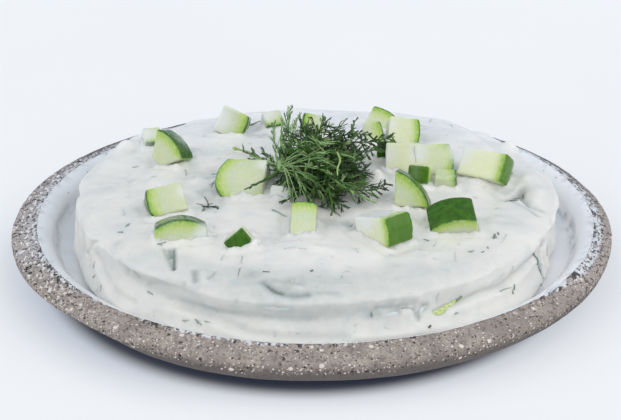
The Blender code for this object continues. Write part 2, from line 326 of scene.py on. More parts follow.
class Finish:
    """A material on a Principled shader."""

    def __init__(self, name, **constants):
        self.material = bpy.data.materials.new(name)
        self.material.use_nodes = True
        self.tree = self.material.node_tree
        self.shader = self.tree.nodes["Principled BSDF"]
        for socket, value in constants.items():
            self.shader.inputs[socket.replace("_", " ").title().replace("Ior", "IOR")].default_value = value

    def node(self, kind, settings, sockets, out=0):
        """Adds a node: its settings are made first, then its sockets set or linked. Returns one output."""
        made = self.tree.nodes.new("ShaderNode" + kind)
        for name, value in settings.items():
            setattr(made, name, value)
        for name, value in sockets.items():
            plug(value, find(made.inputs, name))
        return Wire(find(made.outputs, out) if isinstance(out, str) else made.outputs[out])

    def mix(self, first, second, factor):
        """Colour first where factor is 0, and second where it is 1."""
        return self.node("Mix", {"data_type": "RGBA"},
                         {"Factor_Float": factor, "A_Color": first, "B_Color": second}, "Result_Color")

    def layered(self, base, *layers):
        """The base colour with more laid over it in turn, each a (red, green, blue) and its mask."""
        for colour, mask in layers:
            base = self.mix(base, srgb(*colour), mask)
        return base

    def place(self, stretch=(1.0, 1.0, 1.0)):
        """Where the surface is, in millimetres, squeezed along each axis by stretch."""
        where = self.node("TexCoord", {}, {}, "Object")
        return self.node("VectorMath", {"operation": "MULTIPLY"},
                         {"Vector": where, "Vector_001": tuple(1000.0 / s for s in stretch)})

    def along(self, axis):
        """How far along one axis the surface is, in millimetres."""
        return self.node("SeparateXYZ", {}, {"Vector": self.place()}, axis)

    def soft(self, size, detail=3.0, stretch=(1.0, 1.0, 1.0), where=None):
        """Cloudy values between 0 and 1, with features of the given size in millimetres."""
        where = where or self.place(stretch)
        return self.node("TexNoise", {}, {"Vector": where, "Scale": 1.0 / size, "Detail": detail})

    def painted(self, name):
        """A number stored at the points of the mesh under this name."""
        return self.node("Attribute", {"attribute_name": name}, {}, "Fac")

    def bump(self, height, strength, distance):
        """A normal bent by height; distance is the depth in millimetres that height 0 to 1 stands for."""
        return self.node("Bump", {}, {"Height": height, "Strength": strength, "Distance": distance * MM}, "Normal")

    def wear(self, **links):
        """Links the shader's sockets, and hands over the finished material."""
        for socket, value in links.items():
            plug(value, self.shader.inputs[socket.replace("_", " ").title()])
        print(self.material.name + ":", len(self.tree.nodes), "nodes")
        return self.material


print("a finish can", [name for name in vars(Finish) if not name.startswith("__")])

# %% [markdown]
# ## The dish's finish
#
# The potter used a grogged stoneware: grey-brown clay with crushed, already fired clay in it. Where the
# outside was left bare, pale grains and dark pits show, most of all along the edge that the rib scraped. The
# inside wears a pale bluish-white glaze that broke unevenly near the rim and spilled a few wisps over it.
# Two materials would meet in a hard line. So one does both, and masks say where we are: the distance from
# the inside's own axis, the height, and soft shares of the left, the right, the back and the front.

# %% Where on the dish we are
pottery = Finish("grogged_stoneware_and_glaze", ior=1.5, coat_roughness=0.12)
x_mm, y_mm, z_mm = (pottery.along(axis) for axis in "XYZ")
reach_mm = ((x_mm - INSIDE_SHIFT) ** 2.0 + (y_mm - INSIDE_BACK) ** 2.0) ** 0.5
turn_mm = x_mm.reckon("ARCTAN2", x_mm, 0.0 - y_mm) * 95.0
round_the_dish = pottery.node("CombineXYZ", {}, {"X": turn_mm / 2.6, "Y": reach_mm, "Z": z_mm})
inside = pottery.painted("inside")
left = (0.0 - x_mm).ramp(62.0, 98.0)
far_left = left * (y_mm + 62.0).ramp(0.0, 34.0)
right = x_mm.ramp(66.0, 92.0) * (y_mm + 84.0).ramp(0.0, 40.0)
behind = (y_mm - 8.0).ramp(0.0, 55.0)
near = (0.0 - y_mm).ramp(55.0, 90.0) * (22.0 - x_mm).ramp(0.0, 14.0) * (x_mm + 70.0).ramp(0.0, 20.0)
print("so far", len(pottery.tree.nodes), "nodes")

# %% [markdown]
# The glaze stops about eight millimetres inside the widest ring, on a ragged line. `edge` is the distance
# to that line, more than 0 on the glazed side. Past it, on the bare face of the rim, glaze was spilled in
# `wisps` and `blots`, mostly at the right. At the left the scraped clay stands up in pale and dark crumbs.

# %% Where the glaze ends
ragged = pottery.soft(1.6, 4.0) * 0.7 + pottery.soft(4.0, 3.0) * 1.2 + pottery.soft(12.0) * 1.2 - 1.55
edge = GLAZE_RADIUS - 0.2 - (0.0 - y_mm).ramp(60.0, 98.0) - reach_mm + ragged
on_face = (0.0 - edge) * inside
glazed = edge.ramp(-0.12, 0.12) * inside
spill = near * 2.4 + right * 4.2 + left * 2.4
spill_share = right * 0.9 + near * 0.5 + left * 0.45
spill_share = spill_share.reckon("MINIMUM", spill_share, 0.9)
wisps = (pottery.soft(2.3, 4.0, (0.8, 1.5, 1.0)) + spill_share * 0.145).ramp(0.56, 0.59)
wisps = wisps * (1.0 - (on_face / (spill + 0.3)).ramp(0.5, 1.0)) * inside
blots = (pottery.soft(1.7, 4.0, (0.8, 1.4, 0.8)) + spill_share * 0.06).ramp(0.60, 0.63)
blots = blots * (1.0 - (on_face / (spill + 0.9)).ramp(0.6, 1.0)) * inside
crumbs = (pottery.soft(1.7, 4.0, (0.8, 1.5, 1.2)) - on_face.ramp(3.0, 7.0) * 0.03).ramp(0.55, 0.58) * left * inside
dark_crumbs = pottery.soft(1.5, 4.0, (0.9, 1.4, 1.0)).ramp(0.585, 0.61) * (1.0 - crumbs)
dark_crumbs = dark_crumbs * (left * 0.95 + right * 0.5 + 0.35)
print("so far", len(pottery.tree.nodes), "nodes")

# %% [markdown]
# Grog is thrown in by the handful, so its grains come in all sizes and lie closer in some places than in
# others. A Voronoi texture scatters one grain in each of its cells. We lay three sizes of pale grain and two
# of dark pit over each other, let clouds thin them out, and crumple the space so that none is quite round.

# %% Scattered flecks


def crumpled(size, amount):
    """The place on the dish, pushed about by cloudy noise, so that round grains come out ragged."""
    cloud = pottery.node("TexNoise", {}, {"Vector": pottery.place(), "Scale": 1.0 / size, "Detail": 3.0}, "Color")
    middle = (0.5, 0.5, 0.5)
    push = pottery.node("VectorMath", {"operation": "SUBTRACT"}, {"Vector": cloud, "Vector_001": middle})
    push = pottery.node("VectorMath", {"operation": "SCALE"}, {"Vector": push, "Scale": 4.0 * amount * size})
    return pottery.node("VectorMath", {"operation": "ADD"}, {"Vector": pottery.place(), "Vector_001": push})


def flecks(size, small, large, density, where):
    """Round flecks of radius small to large in cells of the given size, all in millimetres."""
    sockets = {"Vector": where, "Scale": 1.0 / size}
    away = pottery.node("TexVoronoi", {}, sockets, "Distance")
    tone = pottery.node("SeparateColor", {}, {"Color": pottery.node("TexVoronoi", {}, sockets, "Color")}, "Red")
    reach = tone.ramp(0.2, 1.0, small / size, large / size)
    return (1.0 - (away / reach).ramp(0.8, 1.05)) * (tone + density).ramp(1.0, 1.03)


grog_place, pit_place = crumpled(0.8, 0.11), crumpled(1.3, 0.12)
print("so far", len(pottery.tree.nodes), "nodes")

# %% Grog and pits
cloud = pottery.soft(7.0, 3.0)
edge_line = z_mm.ramp(10.6, 12.2) * (1.0 - z_mm.ramp(13.6, 15.0))
speckled = 0.13 + cloud.ramp(0.40, 0.62) * 0.27 + edge_line * 0.24 + left * 0.3 + right * 0.14
speckled = z_mm.ramp(9.0, 12.0) * speckled
pale_grog = flecks(3.2, 0.35, 0.9, speckled * 0.45, grog_place)
pale_grog = pale_grog.larger(flecks(1.5, 0.22, 0.44, speckled * 0.95, grog_place))
pale_grog = pale_grog.larger(flecks(0.85, 0.15, 0.29, speckled * 0.9, grog_place))
pits = flecks(2.2, 0.25, 0.68, speckled * 0.5, pit_place)
pits = pits.larger(flecks(1.0, 0.16, 0.34, speckled * 0.75, pit_place)) * (1.0 - pale_grog)
print("so far", len(pottery.tree.nodes), "nodes")

# %% Clay colours
outer = on_face.ramp(2.6, 4.6)
clay = pottery.layered(
    pottery.mix(srgb(151, 139, 131), srgb(174, 161, 151), cloud.ramp(0.35, 0.65)),
    # small dark clouds, larger pale ones, and painted shade on the lower wall, darker towards the foot
    ((116, 108, 104), pottery.soft(0.9, 5.0).ramp(0.48, 0.68) * 0.75),
    ((176, 166, 160), pottery.soft(2.2, 5.0, (1.0, 1.0, 1.8)).ramp(0.55, 0.70) * 0.5),
    ((90, 83, 80), (1.0 - z_mm.ramp(9.8, 15.6)) * 0.85),
    # the paler rim at the left and at the right, painted shade on the rim's outer face at the back, and a paler band
    # inside it
    ((182, 178, 181), far_left * inside * (1.0 - on_face.ramp(2.5, 6.5) * 0.45) * 0.85),
    ((176, 165, 160), right * inside * 0.55),
    ((78, 75, 79), behind * outer * (1.0 - left * 0.35) * 0.9),
    ((176, 174, 182), behind * (1.0 - outer) * inside * 0.7),
    # crumbs, pits and grog
    ((240, 237, 236), crumbs * 0.88),
    ((50, 47, 48), dark_crumbs * 0.85),
    ((46, 42, 41), pits * 0.9),
    ((232, 220, 210), pale_grog * (1.0 - behind * 0.6) * 0.95),
    # the dark line where the glaze ends, and what was spilled over it
    ((74, 72, 74), (edge + 0.7).ramp(0.0, 0.5) * inside * pottery.soft(2.4, 4.0).ramp(0.40, 0.56) * 0.85),
    ((230, 232, 236), wisps * 0.92),
    ((48, 47, 51), blots * 0.88),
)
print("so far", len(pottery.tree.nodes), "nodes")

# %% Glaze colours
thin = (reach_mm - 98.5).ramp(0.0, 3.8) * pottery.soft(4.0, 5.0).ramp(0.48, 0.62)
brushed = pottery.soft(4.0, 4.0, where=round_the_dish).ramp(0.42, 0.66) * z_mm.ramp(9.2, 12.0)
# painted shade: a soft blue-grey band in the crease where the well's wall meets its floor, less at the front
crease_shade = pottery.soft(3.4, 4.0, where=round_the_dish).ramp(0.40, 0.66)
crease_shade = crease_shade * z_mm.ramp(8.4, 9.6) * (1.0 - z_mm.ramp(10.5, 14.0))
crease_shade = crease_shade * ((y_mm + 40.0).ramp(0.0, 30.0) * (0.3 + right * 0.2) + 0.12)
pinhole_share = (reach_mm - 95.0).ramp(0.0, 6.5) * (0.10 + left * (y_mm + 5.0).ramp(0.0, 30.0) * 0.4)
pinholes = flecks(1.9, 0.14, 0.34, pinhole_share, grog_place)
glaze = pottery.layered(
    pottery.mix(srgb(226, 229, 231), srgb(236, 238, 240), pottery.soft(14.0).ramp(0.35, 0.65)),
    # painted light and shade: the glaze whiter towards the right, and greyer on the left wall
    ((249, 249, 251), x_mm.ramp(0.0, 80.0)),
    ((208, 213, 218), (0.0 - x_mm).ramp(40.0, 90.0) * z_mm.ramp(9.2, 12.0) * 0.15),
    ((174, 178, 186), thin * 0.5),
    ((236, 238, 243), brushed * 0.35),
    # painted shade in the well's crease
    ((142, 152, 156), crease_shade),
    ((62, 64, 72), pinholes * 0.85),
)
print("so far", len(pottery.tree.nodes), "nodes")

# %% Relief, gloss and the finished material
relief = pottery.soft(0.7, 5.0) * 0.35 - pits * 0.8 + (pale_grog + crumbs) * 0.3
relief = relief - dark_crumbs * 0.5 + wisps * 0.5 - blots * 0.4
glaze_relief = pottery.soft(6.0, 2.0) * 0.5 - pinholes * 0.5
surface = relief * (1.0 - glazed) * z_mm.ramp(8.0, 12.0, 0.3, 1.0) + glaze_relief * glazed * 0.35
stoneware = pottery.wear(
    base_color=pottery.mix(clay, glaze, glazed),
    roughness=0.82 - glazed * 0.54 - wisps * (1.0 - glazed) * 0.3,
    coat_weight=glazed * 0.5,
    normal=pottery.bump(surface, 1.0, 0.5),
)

# %% [markdown]
# ## The dish
#
# The real dish is not as even as its solid. The rim dips and swells by a few tenths of a millimetre, the
# scraped edge is rough, and the glaze is smooth. A Screw modifier would turn an outline, but couldn't treat
# clay and glaze apart. So we turn the same outline ourselves, with points about a millimetre apart.

# %% The outline of the dish
DISH_SEGMENTS = 600
outside = [(FOOT_RADIUS, 0.0)]
outside += bezier(outside[-1], (110, 0.6), (DISH_RADIUS, BEVEL_HEIGHT - 0.6), 24)
outside += bezier(outside[-1], (110, 15.0), (109.2, 15.2), 6)
inner = [(GLAZE_RADIUS, RIM_HEIGHT)]
inner += bezier(inner[-1], (97.5, 16.2), (96, 12), 10)
inner += bezier(inner[-1], (95.3, 9.6), (WELL_RADIUS, WELL_HEIGHT), 6)
under = resample([(1.0, 0.0), outside[0]], 9.0)
wall = resample(outside, 0.8)
top = resample([outside[-1], *inner], 0.75)
floor_part = resample([inner[-1], (86, 8.3), (1.0, FLOOR_HEIGHT)], 4.0)
profile = np.concatenate([under[:-1], wall[:-1], top, floor_part[1:]])
radii, heights = profile[:, 0], profile[:, 1]
is_inside = np.arange(len(profile)) >= len(under) + len(wall) - 2
print("outline:", len(profile), "points,", int(is_inside.sum()), "of them inside")

# %% [markdown]
# The turned outline is shifted inside, where the dish was thrown off centre. At the front left the lower
# edge of the wall runs a little higher, because the potter trimmed by eye. Last, each point is pushed in or
# out along its normal: slow waves all over, and grit only on bare clay.

# %% Turn and roughen the dish
turn = np.linspace(0, math.tau, DISH_SEGMENTS, endpoint=False)
off_centre = np.where(is_inside, smoothstep(107.0, 103.0, radii), 0.0)
shift = INSIDE_SHIFT * off_centre
back = INSIDE_BACK * off_centre * smoothstep(60.0, 90.0, radii)
grid = np.stack([
    shift[:, None] + profile[:, :1] * np.cos(turn),
    back[:, None] + profile[:, :1] * np.sin(turn),
    np.repeat(profile[:, 1:], DISH_SEGMENTS, 1),
], -1)
FRONT_LEFT, TRIMMED_IN, TRIMMED_UP = 222.0, 1.4, 2.4
trimmed = smoothstep(74.0, 98.0, radii) * (1 - smoothstep(8.0, 14.4, heights)) * ~is_inside
trimmed = trimmed[:, None] * np.exp(-(((np.degrees(turn) - FRONT_LEFT) / 18.0) ** 2))
grid[..., 0] -= TRIMMED_IN * trimmed * np.cos(turn)
grid[..., 1] -= TRIMMED_IN * trimmed * np.sin(turn)
grid[..., 2] += TRIMMED_UP * trimmed
normals = grid_normals(grid).reshape(-1, 3)
flat = grid.reshape(-1, 3)
bare = np.repeat(smoothstep(101.0, 103.5, radii) * (heights > 0.5), DISH_SEGMENTS)
waves = noise_at(flat, 26.0, 2, 1.0) * 0.28 * np.repeat(smoothstep(80.0, 95.0, radii), DISH_SEGMENTS)
grit = noise_at(flat, 2.2, 4, 2.0) * 0.16 * bare * smoothstep(5.0, 12.0, flat[:, 2])
push = np.minimum(waves + grit, 0.1) - 0.12
push[flat[:, 2] < 0.02] = 0.0
dressed = flat + normals * push[:, None]
dressed[:, 2] = np.maximum(dressed[:, 2], 0.0)
dressed = np.concatenate([dressed, [[0, 0, 0], [INSIDE_SHIFT, 0, FLOOR_HEIGHT]]])
dish = new_object("stoneware_dish", dressed, closed_faces(len(profile), DISH_SEGMENTS), stoneware)
paint(dish, "inside", np.append(np.repeat(is_inside.astype(float), DISH_SEGMENTS), [0, 1]))
print("dish:", len(dish.data.polygons), "faces, pushed", push.min().round(2), "to", push.max().round(2), "mm")

# %% [markdown]
# ## The cucumber dice
#
# The cucumber was cut into sticks and then into dice, so each has flat cut sides and, most of them, one
# side that still wears the skin, curved like the cucumber. The list below is the same as the solids': place,
# size across, thick and long, turn about Z, X and Y, and for a few the radius of the skin and how much of
# the width is left on the side away from it.

# %% Where each die lies
# the radius of the skin, on the whole cucumber and near its end
WHOLE, SMALL = 16.0, 10.5
DICE = [
    ((-53.6, 17.5, 34.2), (16, 9.5, 8), (-32, -18, 32), WHOLE, 0.35),
    ((-61.5, 37.5, 30.2), (7, 8, 9), (12, 115, 0)),
    ((-51.6, -24, 32), (10.5, 13, 11), (10, -40, -100)),
    ((-45, -46, 29), (18, 9, 9), (5, -12, 0)),
    ((-24.2, -53, 30.6), (8.5, 9, 8), (70, 47, -65)),
    ((-31.2, 51.5, 32.4), (11, 11, 10), (-4, -24, 114)),
    ((-23.4, -10, 32.5), (17, 15, 11), (-15, -58, -95), 12.0),
    ((-3, -43, 32.5), (9, 13, 9), (3, -48, 5)),
    ((24.4, -48.7, 33.9), (10, 16, 11.5), (-47, -3, 75)),
    ((33, -23.5, 34.6), (18, 9, 8), (-12, -18, 43), 19.0, 0.05),
    ((49, -39, 31.2), (16.5, 9.5, 12), (5, 18, -14)),
    ((34.2, 9.4, 33.9), (13.8, 9.5, 12), (-5, -132, 0)),
    ((44.6, 9.0, 33.4), (12, 12.8, 11.5), (-4, -38, 85), SMALL),
    ((39.4, -4, 33), (8, 6.5, 10), (-15, 72, -5)),
    ((48.6, -4, 31), (8.5, 8, 8), (-5, 5, 90)),
    ((64, 5, 33.0), (11, 17.5, 11), (-25, 48, 90)),
    ((34.8, 39, 33.2), (11, 11.5, 9.5), (8, -36, 100)),
    ((27, 55, 31), (10, 9, 9), (-5, -38, 25)),
    ((23.5, 38, 33.4), (8, 7, 8), (3, -34, 80)),
    ((28.2, 18.5, 33.8), (6.5, 8, 9), (-10, 70, -5)),
    ((15, 14, 32), (8, 7, 8), (0, 58, 0)),
    ((0.5, 45, 33), (9, 9, 8), (-5, 15, -80)),
    ((-15.5, 57, 30), (8, 8, 8), (20, 115, 0)),
    ((-10.5, -17.5, 31.2), (8, 8, 8), (-20, 60, 0)),
]
print(len(DICE), "dice")

# %% [markdown]
# Some dice are painted lighter, flesh and skin, as painted light where more of it falls on them, and many
# wear a film of yoghurt. Both are given one by one, because they decide how green or white each die looks.

# %% Painted light, films and distances
# the dice that are painted lighter, flesh and skin, as painted light, and by how much, by number
LIT_DICE = {9: 0.7, 16: 0.9, 12: 0.4, 13: 0.3, 14: 0.5, 17: 0.6, 18: 0.3}
# where the spoon dragged yoghurt over the dice: place, half-width and how thick the film is
FILMS = [
    (19, -45, 39.5, 8.0, 1.6), (-26, -50, 35.5, 4.6, 0.9), (-38, 50, 36, 7.5, 1.1), (55, 9, 38, 7.0, 1.0),
    (27, 8, 37, 4.6, 0.8), (50, -6, 33, 3.4, 0.6), (-17, -8, 40, 3.5, 0.8), (-19, 57, 33, 6.0, 0.85),
    (-45.5, -25, 37, 3.0, 0.7), (-36, -49, 31, 5.0, 1.0), (39.5, 8.5, 37, 4.4, 1.1), (13, -45, 34, 5.0, 0.9),
    (22, 55, 33, 3.5, 0.7), (-64, 36, 32, 5.0, 1.0), (30, 38, 37, 4.0, 0.8), (62, 8, 40, 8.0, 0.45),
    (-11, -21, 34.5, 6.0, 1.4), (38, -5, 36, 4.0, 0.3), (-14, -2, 37, 4.0, 0.7), (-50, 10, 33, 3.0, 0.6),
    # the two thin films on this line, on dice 1 and 4, are partly yoghurt and partly painted sheen on their skin
    (-48, 20, 39, 7.0, 0.45), (-50, -44, 33, 8.0, 0.42),
]


def die_matrix(place, turn_degrees):
    """Turns a die's own frame into the dish's: about Y first, then X, then Z."""
    about_z, about_x, about_y = (math.radians(v) for v in turn_degrees)
    turned = Matrix.Rotation(about_z, 3, "Z") @ Matrix.Rotation(about_x, 3, "X") @ Matrix.Rotation(about_y, 3, "Y")
    return np.array(turned), np.array(place, float)


def box_distance(points, die):
    """Distance from each point to a die's box, negative inside it."""
    place, size, turn_degrees = die[:3]
    turned, middle = die_matrix(place, turn_degrees)
    over = np.abs((points - middle) @ turned) - np.array([size[0], size[2], size[1]]) / 2
    return np.linalg.norm(np.maximum(over, 0), axis=1) + np.minimum(over.max(1), 0)


print("from the dish's middle to die 1:", box_distance(np.zeros((1, 3)), DICE[0]).round(1), "mm")

# %% [markdown]
# ## The dip's finish
#
# Thick yoghurt is white all through: light enters it, scatters and comes out a little way off, which is
# why its folds look so soft. That is subsurface scattering, and its reach is a few millimetres. Water and
# oil make it glisten. Grated cucumber and herbs lie just under the surface and show through as cool
# grey-green stains. Noise alone would put them anywhere, so the mesh stores how veiled each point is, and
# with it the painted shade in the spoon's furrows and beside the dice.

# %% Yoghurt
yoghurt = Finish("tzatziki_yoghurt", subsurface_weight=0.75, subsurface_radius=(1.0, 0.95, 0.9),
                 subsurface_scale=0.0035, coat_roughness=0.2, ior=1.38)
specks = yoghurt.soft(1.6, 2.0, (1.4, 1.0, 1.0)).ramp(0.70, 0.77) * yoghurt.soft(14.0).ramp(0.40, 0.56)
veiled_and_shaded = yoghurt.painted("veiled_and_shaded")
body = yoghurt.layered(
    yoghurt.mix(srgb(230, 228, 223), srgb(236, 233, 227), yoghurt.soft(11.0).ramp(0.35, 0.65)),
    # painted light: the dip whiter towards the back
    ((243, 243, 244), yoghurt.painted("behind") * 0.9),
    ((216, 221, 220), yoghurt.soft(6.0, 4.0, (1.3, 1.0, 1.0)).ramp(0.54, 0.72) * 0.5),
    ((176, 189, 187), specks * 0.5),
    # veiled stains, together with painted shade in the spoon's furrows and beside the dice
    ((140, 154, 152), veiled_and_shaded * 0.9),
    ((112, 124, 106), veiled_and_shaded.ramp(0.72, 1.0) * 0.5),
)
dip_relief = yoghurt.soft(3.2, 3.0) * 0.7 + yoghurt.soft(0.9, 2.0) * 0.16
tzatziki_finish = yoghurt.wear(
    base_color=body,
    roughness=yoghurt.soft(7.0).ramp(0.35, 0.65, 0.30, 0.44),
    coat_weight=yoghurt.soft(9.0).ramp(0.4, 0.6, 0.05, 0.22),
    normal=yoghurt.bump(dip_relief, 0.55, 0.5),
)

# %% [markdown]
# ## The dip's surface
#
# A spoon pulled round the front cut a groove and pushed a lip out below it, with loose folds at both ends.
# Sculpting would do it, but can't be written down. So we lay a fine grid over the same shape as the solid
# and then add strokes: each is a line on the surface with a half-width and a height, a ridge where the
# height is positive and a furrow where it is negative. Some have a fourth number, how grey the yoghurt is
# painted in them: partly watery yoghurt and cucumber, and partly painted shade in the furrows. A stroke on
# the side runs through angles in degrees and heights, and one on top through places.

# %% A fine grid over the dip
DIP_SEGMENTS = 620


def dip_grid():
    """Rings of points from under the dip's edge, up its side, over its shoulder and in to the middle."""
    around = np.linspace(0, math.tau, DIP_SEGMENTS, endpoint=False)
    around = around - 0.35 * np.cos(around)  # closer together at the front, where the folds are
    rings = []
    for inset, height in ((14.0, 8.6), (5.0, 8.8), (2.2, 9.3)):
        radius = dip_side(around, LIP_BOTTOM) - inset
        rings.append((radius, np.full(DIP_SEGMENTS, height)))
    for height in np.linspace(10.4, SHOULDER_HEIGHT, 30):
        rings.append((dip_side(around, height), np.full(DIP_SEGMENTS, height)))
    edge = dip_side(around, SHOULDER_HEIGHT)
    for step in range(1, 15):
        bend = math.pi / 2 * step / 14
        radius = edge - SHOULDER * (1 - math.cos(bend))
        height = dip_top(INSIDE_SHIFT + radius * np.cos(around), radius * np.sin(around))
        rings.append((radius, SHOULDER_HEIGHT + (height - SHOULDER_HEIGHT) * math.sin(bend)))
    for share in np.concatenate([np.linspace(0.99, 0.63, 48), np.linspace(0.62, 0.012, 52)]):
        radius = share * (edge - SHOULDER)
        rings.append((radius, dip_top(INSIDE_SHIFT + radius * np.cos(around), radius * np.sin(around))))
    return np.stack([np.stack([INSIDE_SHIFT + r * np.cos(around), r * np.sin(around), h], -1) for r, h in rings])


grid = dip_grid()
print("dip:", grid.shape[0], "rings of", grid.shape[1], "points")

# %% Lines on the dip


def side_line(*stops):
    """A smooth line on the dip's side through stops of (angle in degrees, height)."""
    even = resample(np.array(stops, float), 0.5)
    angle = np.radians(even[:, 0] % 360)
    radius = dip_side(angle, even[:, 1])
    return np.stack([INSIDE_SHIFT + radius * np.cos(angle), radius * np.sin(angle), even[:, 1]], 1)


def top_line(*stops):
    """A line on the dip's top through places (x, y)."""
    even = resample(np.array(stops, float), 0.6)
    return np.column_stack([even, dip_top(even[:, 0], even[:, 1])])


print("a line down the front has", len(side_line((-90, 24), (-90, 12))), "points")

# %% Strokes at the left and along the groove
STROKES = [
    # the crease on the left, the thin bright lip that curls down from it, and the furrow beside the lip
    (side_line((-149, 27.6), (-151, 26.2), (-154, 23), (-156, 17.5)), 0.8, -1.3),
    (side_line((-157, 22), (-155, 20.7), (-152, 17.3), (-147, 15.2), (-140, 13.5), (-133, 11.9)), 1.8, 0.65),
    (side_line((-151, 20.4), (-147, 18), (-144, 16.6), (-138, 14.6)), 1.5, -0.6),
    (side_line((-140, 15.2), (-136, 15.4), (-132, 15.4)), 0.8, -0.8),
    # the two furrows that start on the left, and the long groove that they join
    (side_line((-140, 24), (-136, 21.6), (-130, 21.8), (-124, 24.4), (-118, 25.6)), 2.2, -0.45, 0.2),
    (side_line((-140, 26), (-132, 25), (-126, 26.5)), 2.2, 0.2),
    (side_line((-130, 20.8), (-124, 19.7), (-114, 19.8), (-104, 19.8), (-90, 19.4)), 1.2, -0.4, 0.2),
    (side_line((-120, 18.4), (-112, 18.2), (-108, 17.0), (-104, 15.8), (-96, 15), (-84, 14.8)), 1.5, -0.6, 0.15),
    (side_line((-124, 16.6), (-114, 16), (-108, 14.4), (-103, 13.2)), 1.7, 0.6),
]
print("so far", len(STROKES), "strokes")

# %% Strokes on the front and at the right
STROKES += [
    # on the front: a grey fold, a wedge-shaped cut, and a lens-shaped lump in a hollow
    (top_line((-39, -69.7), (-38.6, -74.7)), 1.3, -1.0, 0.45),
    (top_line((-36, -71), (-35.1, -76)), 1.4, 0.6),
    (top_line((-34.2, -75), (-32.9, -73.4), (-32.2, -71)), 0.8, -0.5, 0.3),
    (top_line((-50.2, -54.5), (-48.4, -60), (-46.4, -67)), 0.9, -0.6, 0.55),
    (top_line((-48.2, -55), (-47.6, -59)), 1.3, -0.9, 0.8),
    (top_line((-46.9, -54.5), (-46.4, -60), (-45.9, -67.5)), 0.85, -1.0, 1.0),
    (top_line((-44.6, -57), (-44.2, -62), (-44, -66)), 1.7, 0.5),
    (top_line((-15.6, -78.2), (-12.6, -82), (-9, -84.4), (-5.4, -85.2), (-1.3, -84.6)), 1.9, -0.8, 0.5),
    (top_line((-14.6, -79.2), (-12, -82.4), (-9.6, -84)), 1.0, -0.5, 0.8),
    (top_line((-1.3, -84.6), (4, -84.2), (8, -84.6)), 1.1, -0.3, 0.3),
    (top_line((-12.4, -77.4), (-8, -78.2), (-4.6, -80)), 1.6, -0.3, 0.22),
    (top_line((-9, -80.6), (-5, -81.8)), 1.6, 0.8, 0.15),
    (side_line((-106, 28), (-107, 26), (-107, 24)), 0.7, -0.6),
    # the long fold that climbs the right side, and the cut beside it
    (side_line((-64, 18), (-58, 18.7), (-52, 19.6), (-44, 18.6), (-36, 19.6), (-28, 20.3), (-23, 20.6),
               (-19, 22), (-15, 26)), 0.8, -0.7, 0.22),
    (side_line((-60, 16.4), (-52, 17), (-44, 16.2), (-34, 17), (-27, 18)), 1.7, 0.9),
    (side_line((-54, 22), (-44, 21.6), (-36, 22.6), (-28, 23.4)), 1.8, 0.6),
    (side_line((-25.5, 18.6), (-26.4, 15), (-27, 10.6)), 1.0, -1.5, 0.6),
    (side_line((-23, 20), (-22, 15), (-21.6, 11)), 1.3, 0.9),
    # the curl at the right edge
    (top_line((69.6, -10.4), (72.6, -8), (76.8, -4)), 1.7, -1.8, 0.6),
    (top_line((76.8, -4), (76.2, -10), (78.2, -16.1), (82, -18.6)), 1.3, -1.9, 0.5),
    (top_line((79, 2), (81, -5), (81.5, -12)), 2.8, 1.0),
    (top_line((73, -14), (77, -19), (80, -24)), 1.2, -0.9, 0.3),
    (side_line((-8, 26), (-13, 25), (-18, 23.5)), 1.0, 0.9),
    # lumps of grated cucumber by the groove
    (side_line((-77, 19.8), (-70, 19.2)), 2.2, 0.6),
    (side_line((-77, 21.9), (-70, 21.2)), 1.0, -0.4, 0.3),
    (side_line((-68, 24.4), (-66, 22), (-64, 19.8)), 1.9, 0.8),
    (side_line((-68.4, 19.6), (-68, 17)), 0.9, -0.8, 0.3),
    (side_line((-82, 14.5), (-72, 14), (-62, 13.5)), 1.3, 0.5),
]
print("so far", len(STROKES), "strokes")

# %% Trails on top, lobes and folds behind
STROKES += [
    # trails of the spoon on top
    (top_line((-60, -8), (-63, 6), (-60, 18)), 2.2, -0.6),
    (top_line((-44, 26), (-41, 12), (-42, -4)), 1.6, 0.7),
    (top_line((-47, 24), (-45, 12), (-46, 0), (-47, -10)), 1.2, -0.6),
    (top_line((-70, 10), (-66, -2), (-66, -14)), 1.0, -0.5),
    (top_line((-20, -62), (0, -60), (20, -62)), 2.4, 0.5),
    (top_line((40, -62), (56, -48), (66, -30)), 2.6, 0.5),
    (top_line((52, 60), (66, 40), (72, 22)), 2.2, 0.6),
    (top_line((-10, 66), (12, 66), (30, 64)), 2.0, 0.5),
    (top_line((-70, 48), (-58, 60), (-40, 70)), 2.0, 0.7),
    # soft lobes at both ends, where the knife left the side uneven
    (side_line((176, 25), (168, 22), (160, 23)), 3.0, 0.9),
    (side_line((184, 24), (190, 20), (194, 15)), 3.0, 1.0),
    (side_line((196, 26), (200, 22), (200, 16)), 2.2, -0.8, 0.1),
    (side_line((176, 14), (186, 13), (196, 12.5)), 2.4, 0.9),
    (side_line((184, 17.5), (176, 18.5), (168, 18)), 1.4, -0.7, 0.1),
    (side_line((12, 24), (4, 22), (-4, 23)), 2.6, 0.9),
    (side_line((6, 15), (-4, 14), (-12, 13)), 2.6, 0.8),
    # folds round the back, which was smoothed with less care
    (side_line((20, 20), (40, 18), (60, 20), (78, 17)), 1.4, -1.0),
    (side_line((16, 17), (36, 15), (58, 16.5)), 1.8, 0.8),
    (side_line((84, 23), (100, 21), (118, 22.5), (132, 20)), 1.3, -1.0),
    (side_line((98, 18), (116, 17), (136, 15)), 1.8, 0.8),
    (side_line((142, 24), (156, 21), (168, 22), (178, 19)), 1.3, -1.1),
    (side_line((150, 18), (164, 16.5), (176, 15)), 1.8, 0.9),
]
print(len(STROKES), "strokes in all")

# %% [markdown]
# A stroke fades out across its width like a bell. Where strokes cross, their heights add up, and the
# greyest one wins. Then chance adds what a hand does without meaning to: slow swells and fine ripples.

# %% How the strokes push the surface


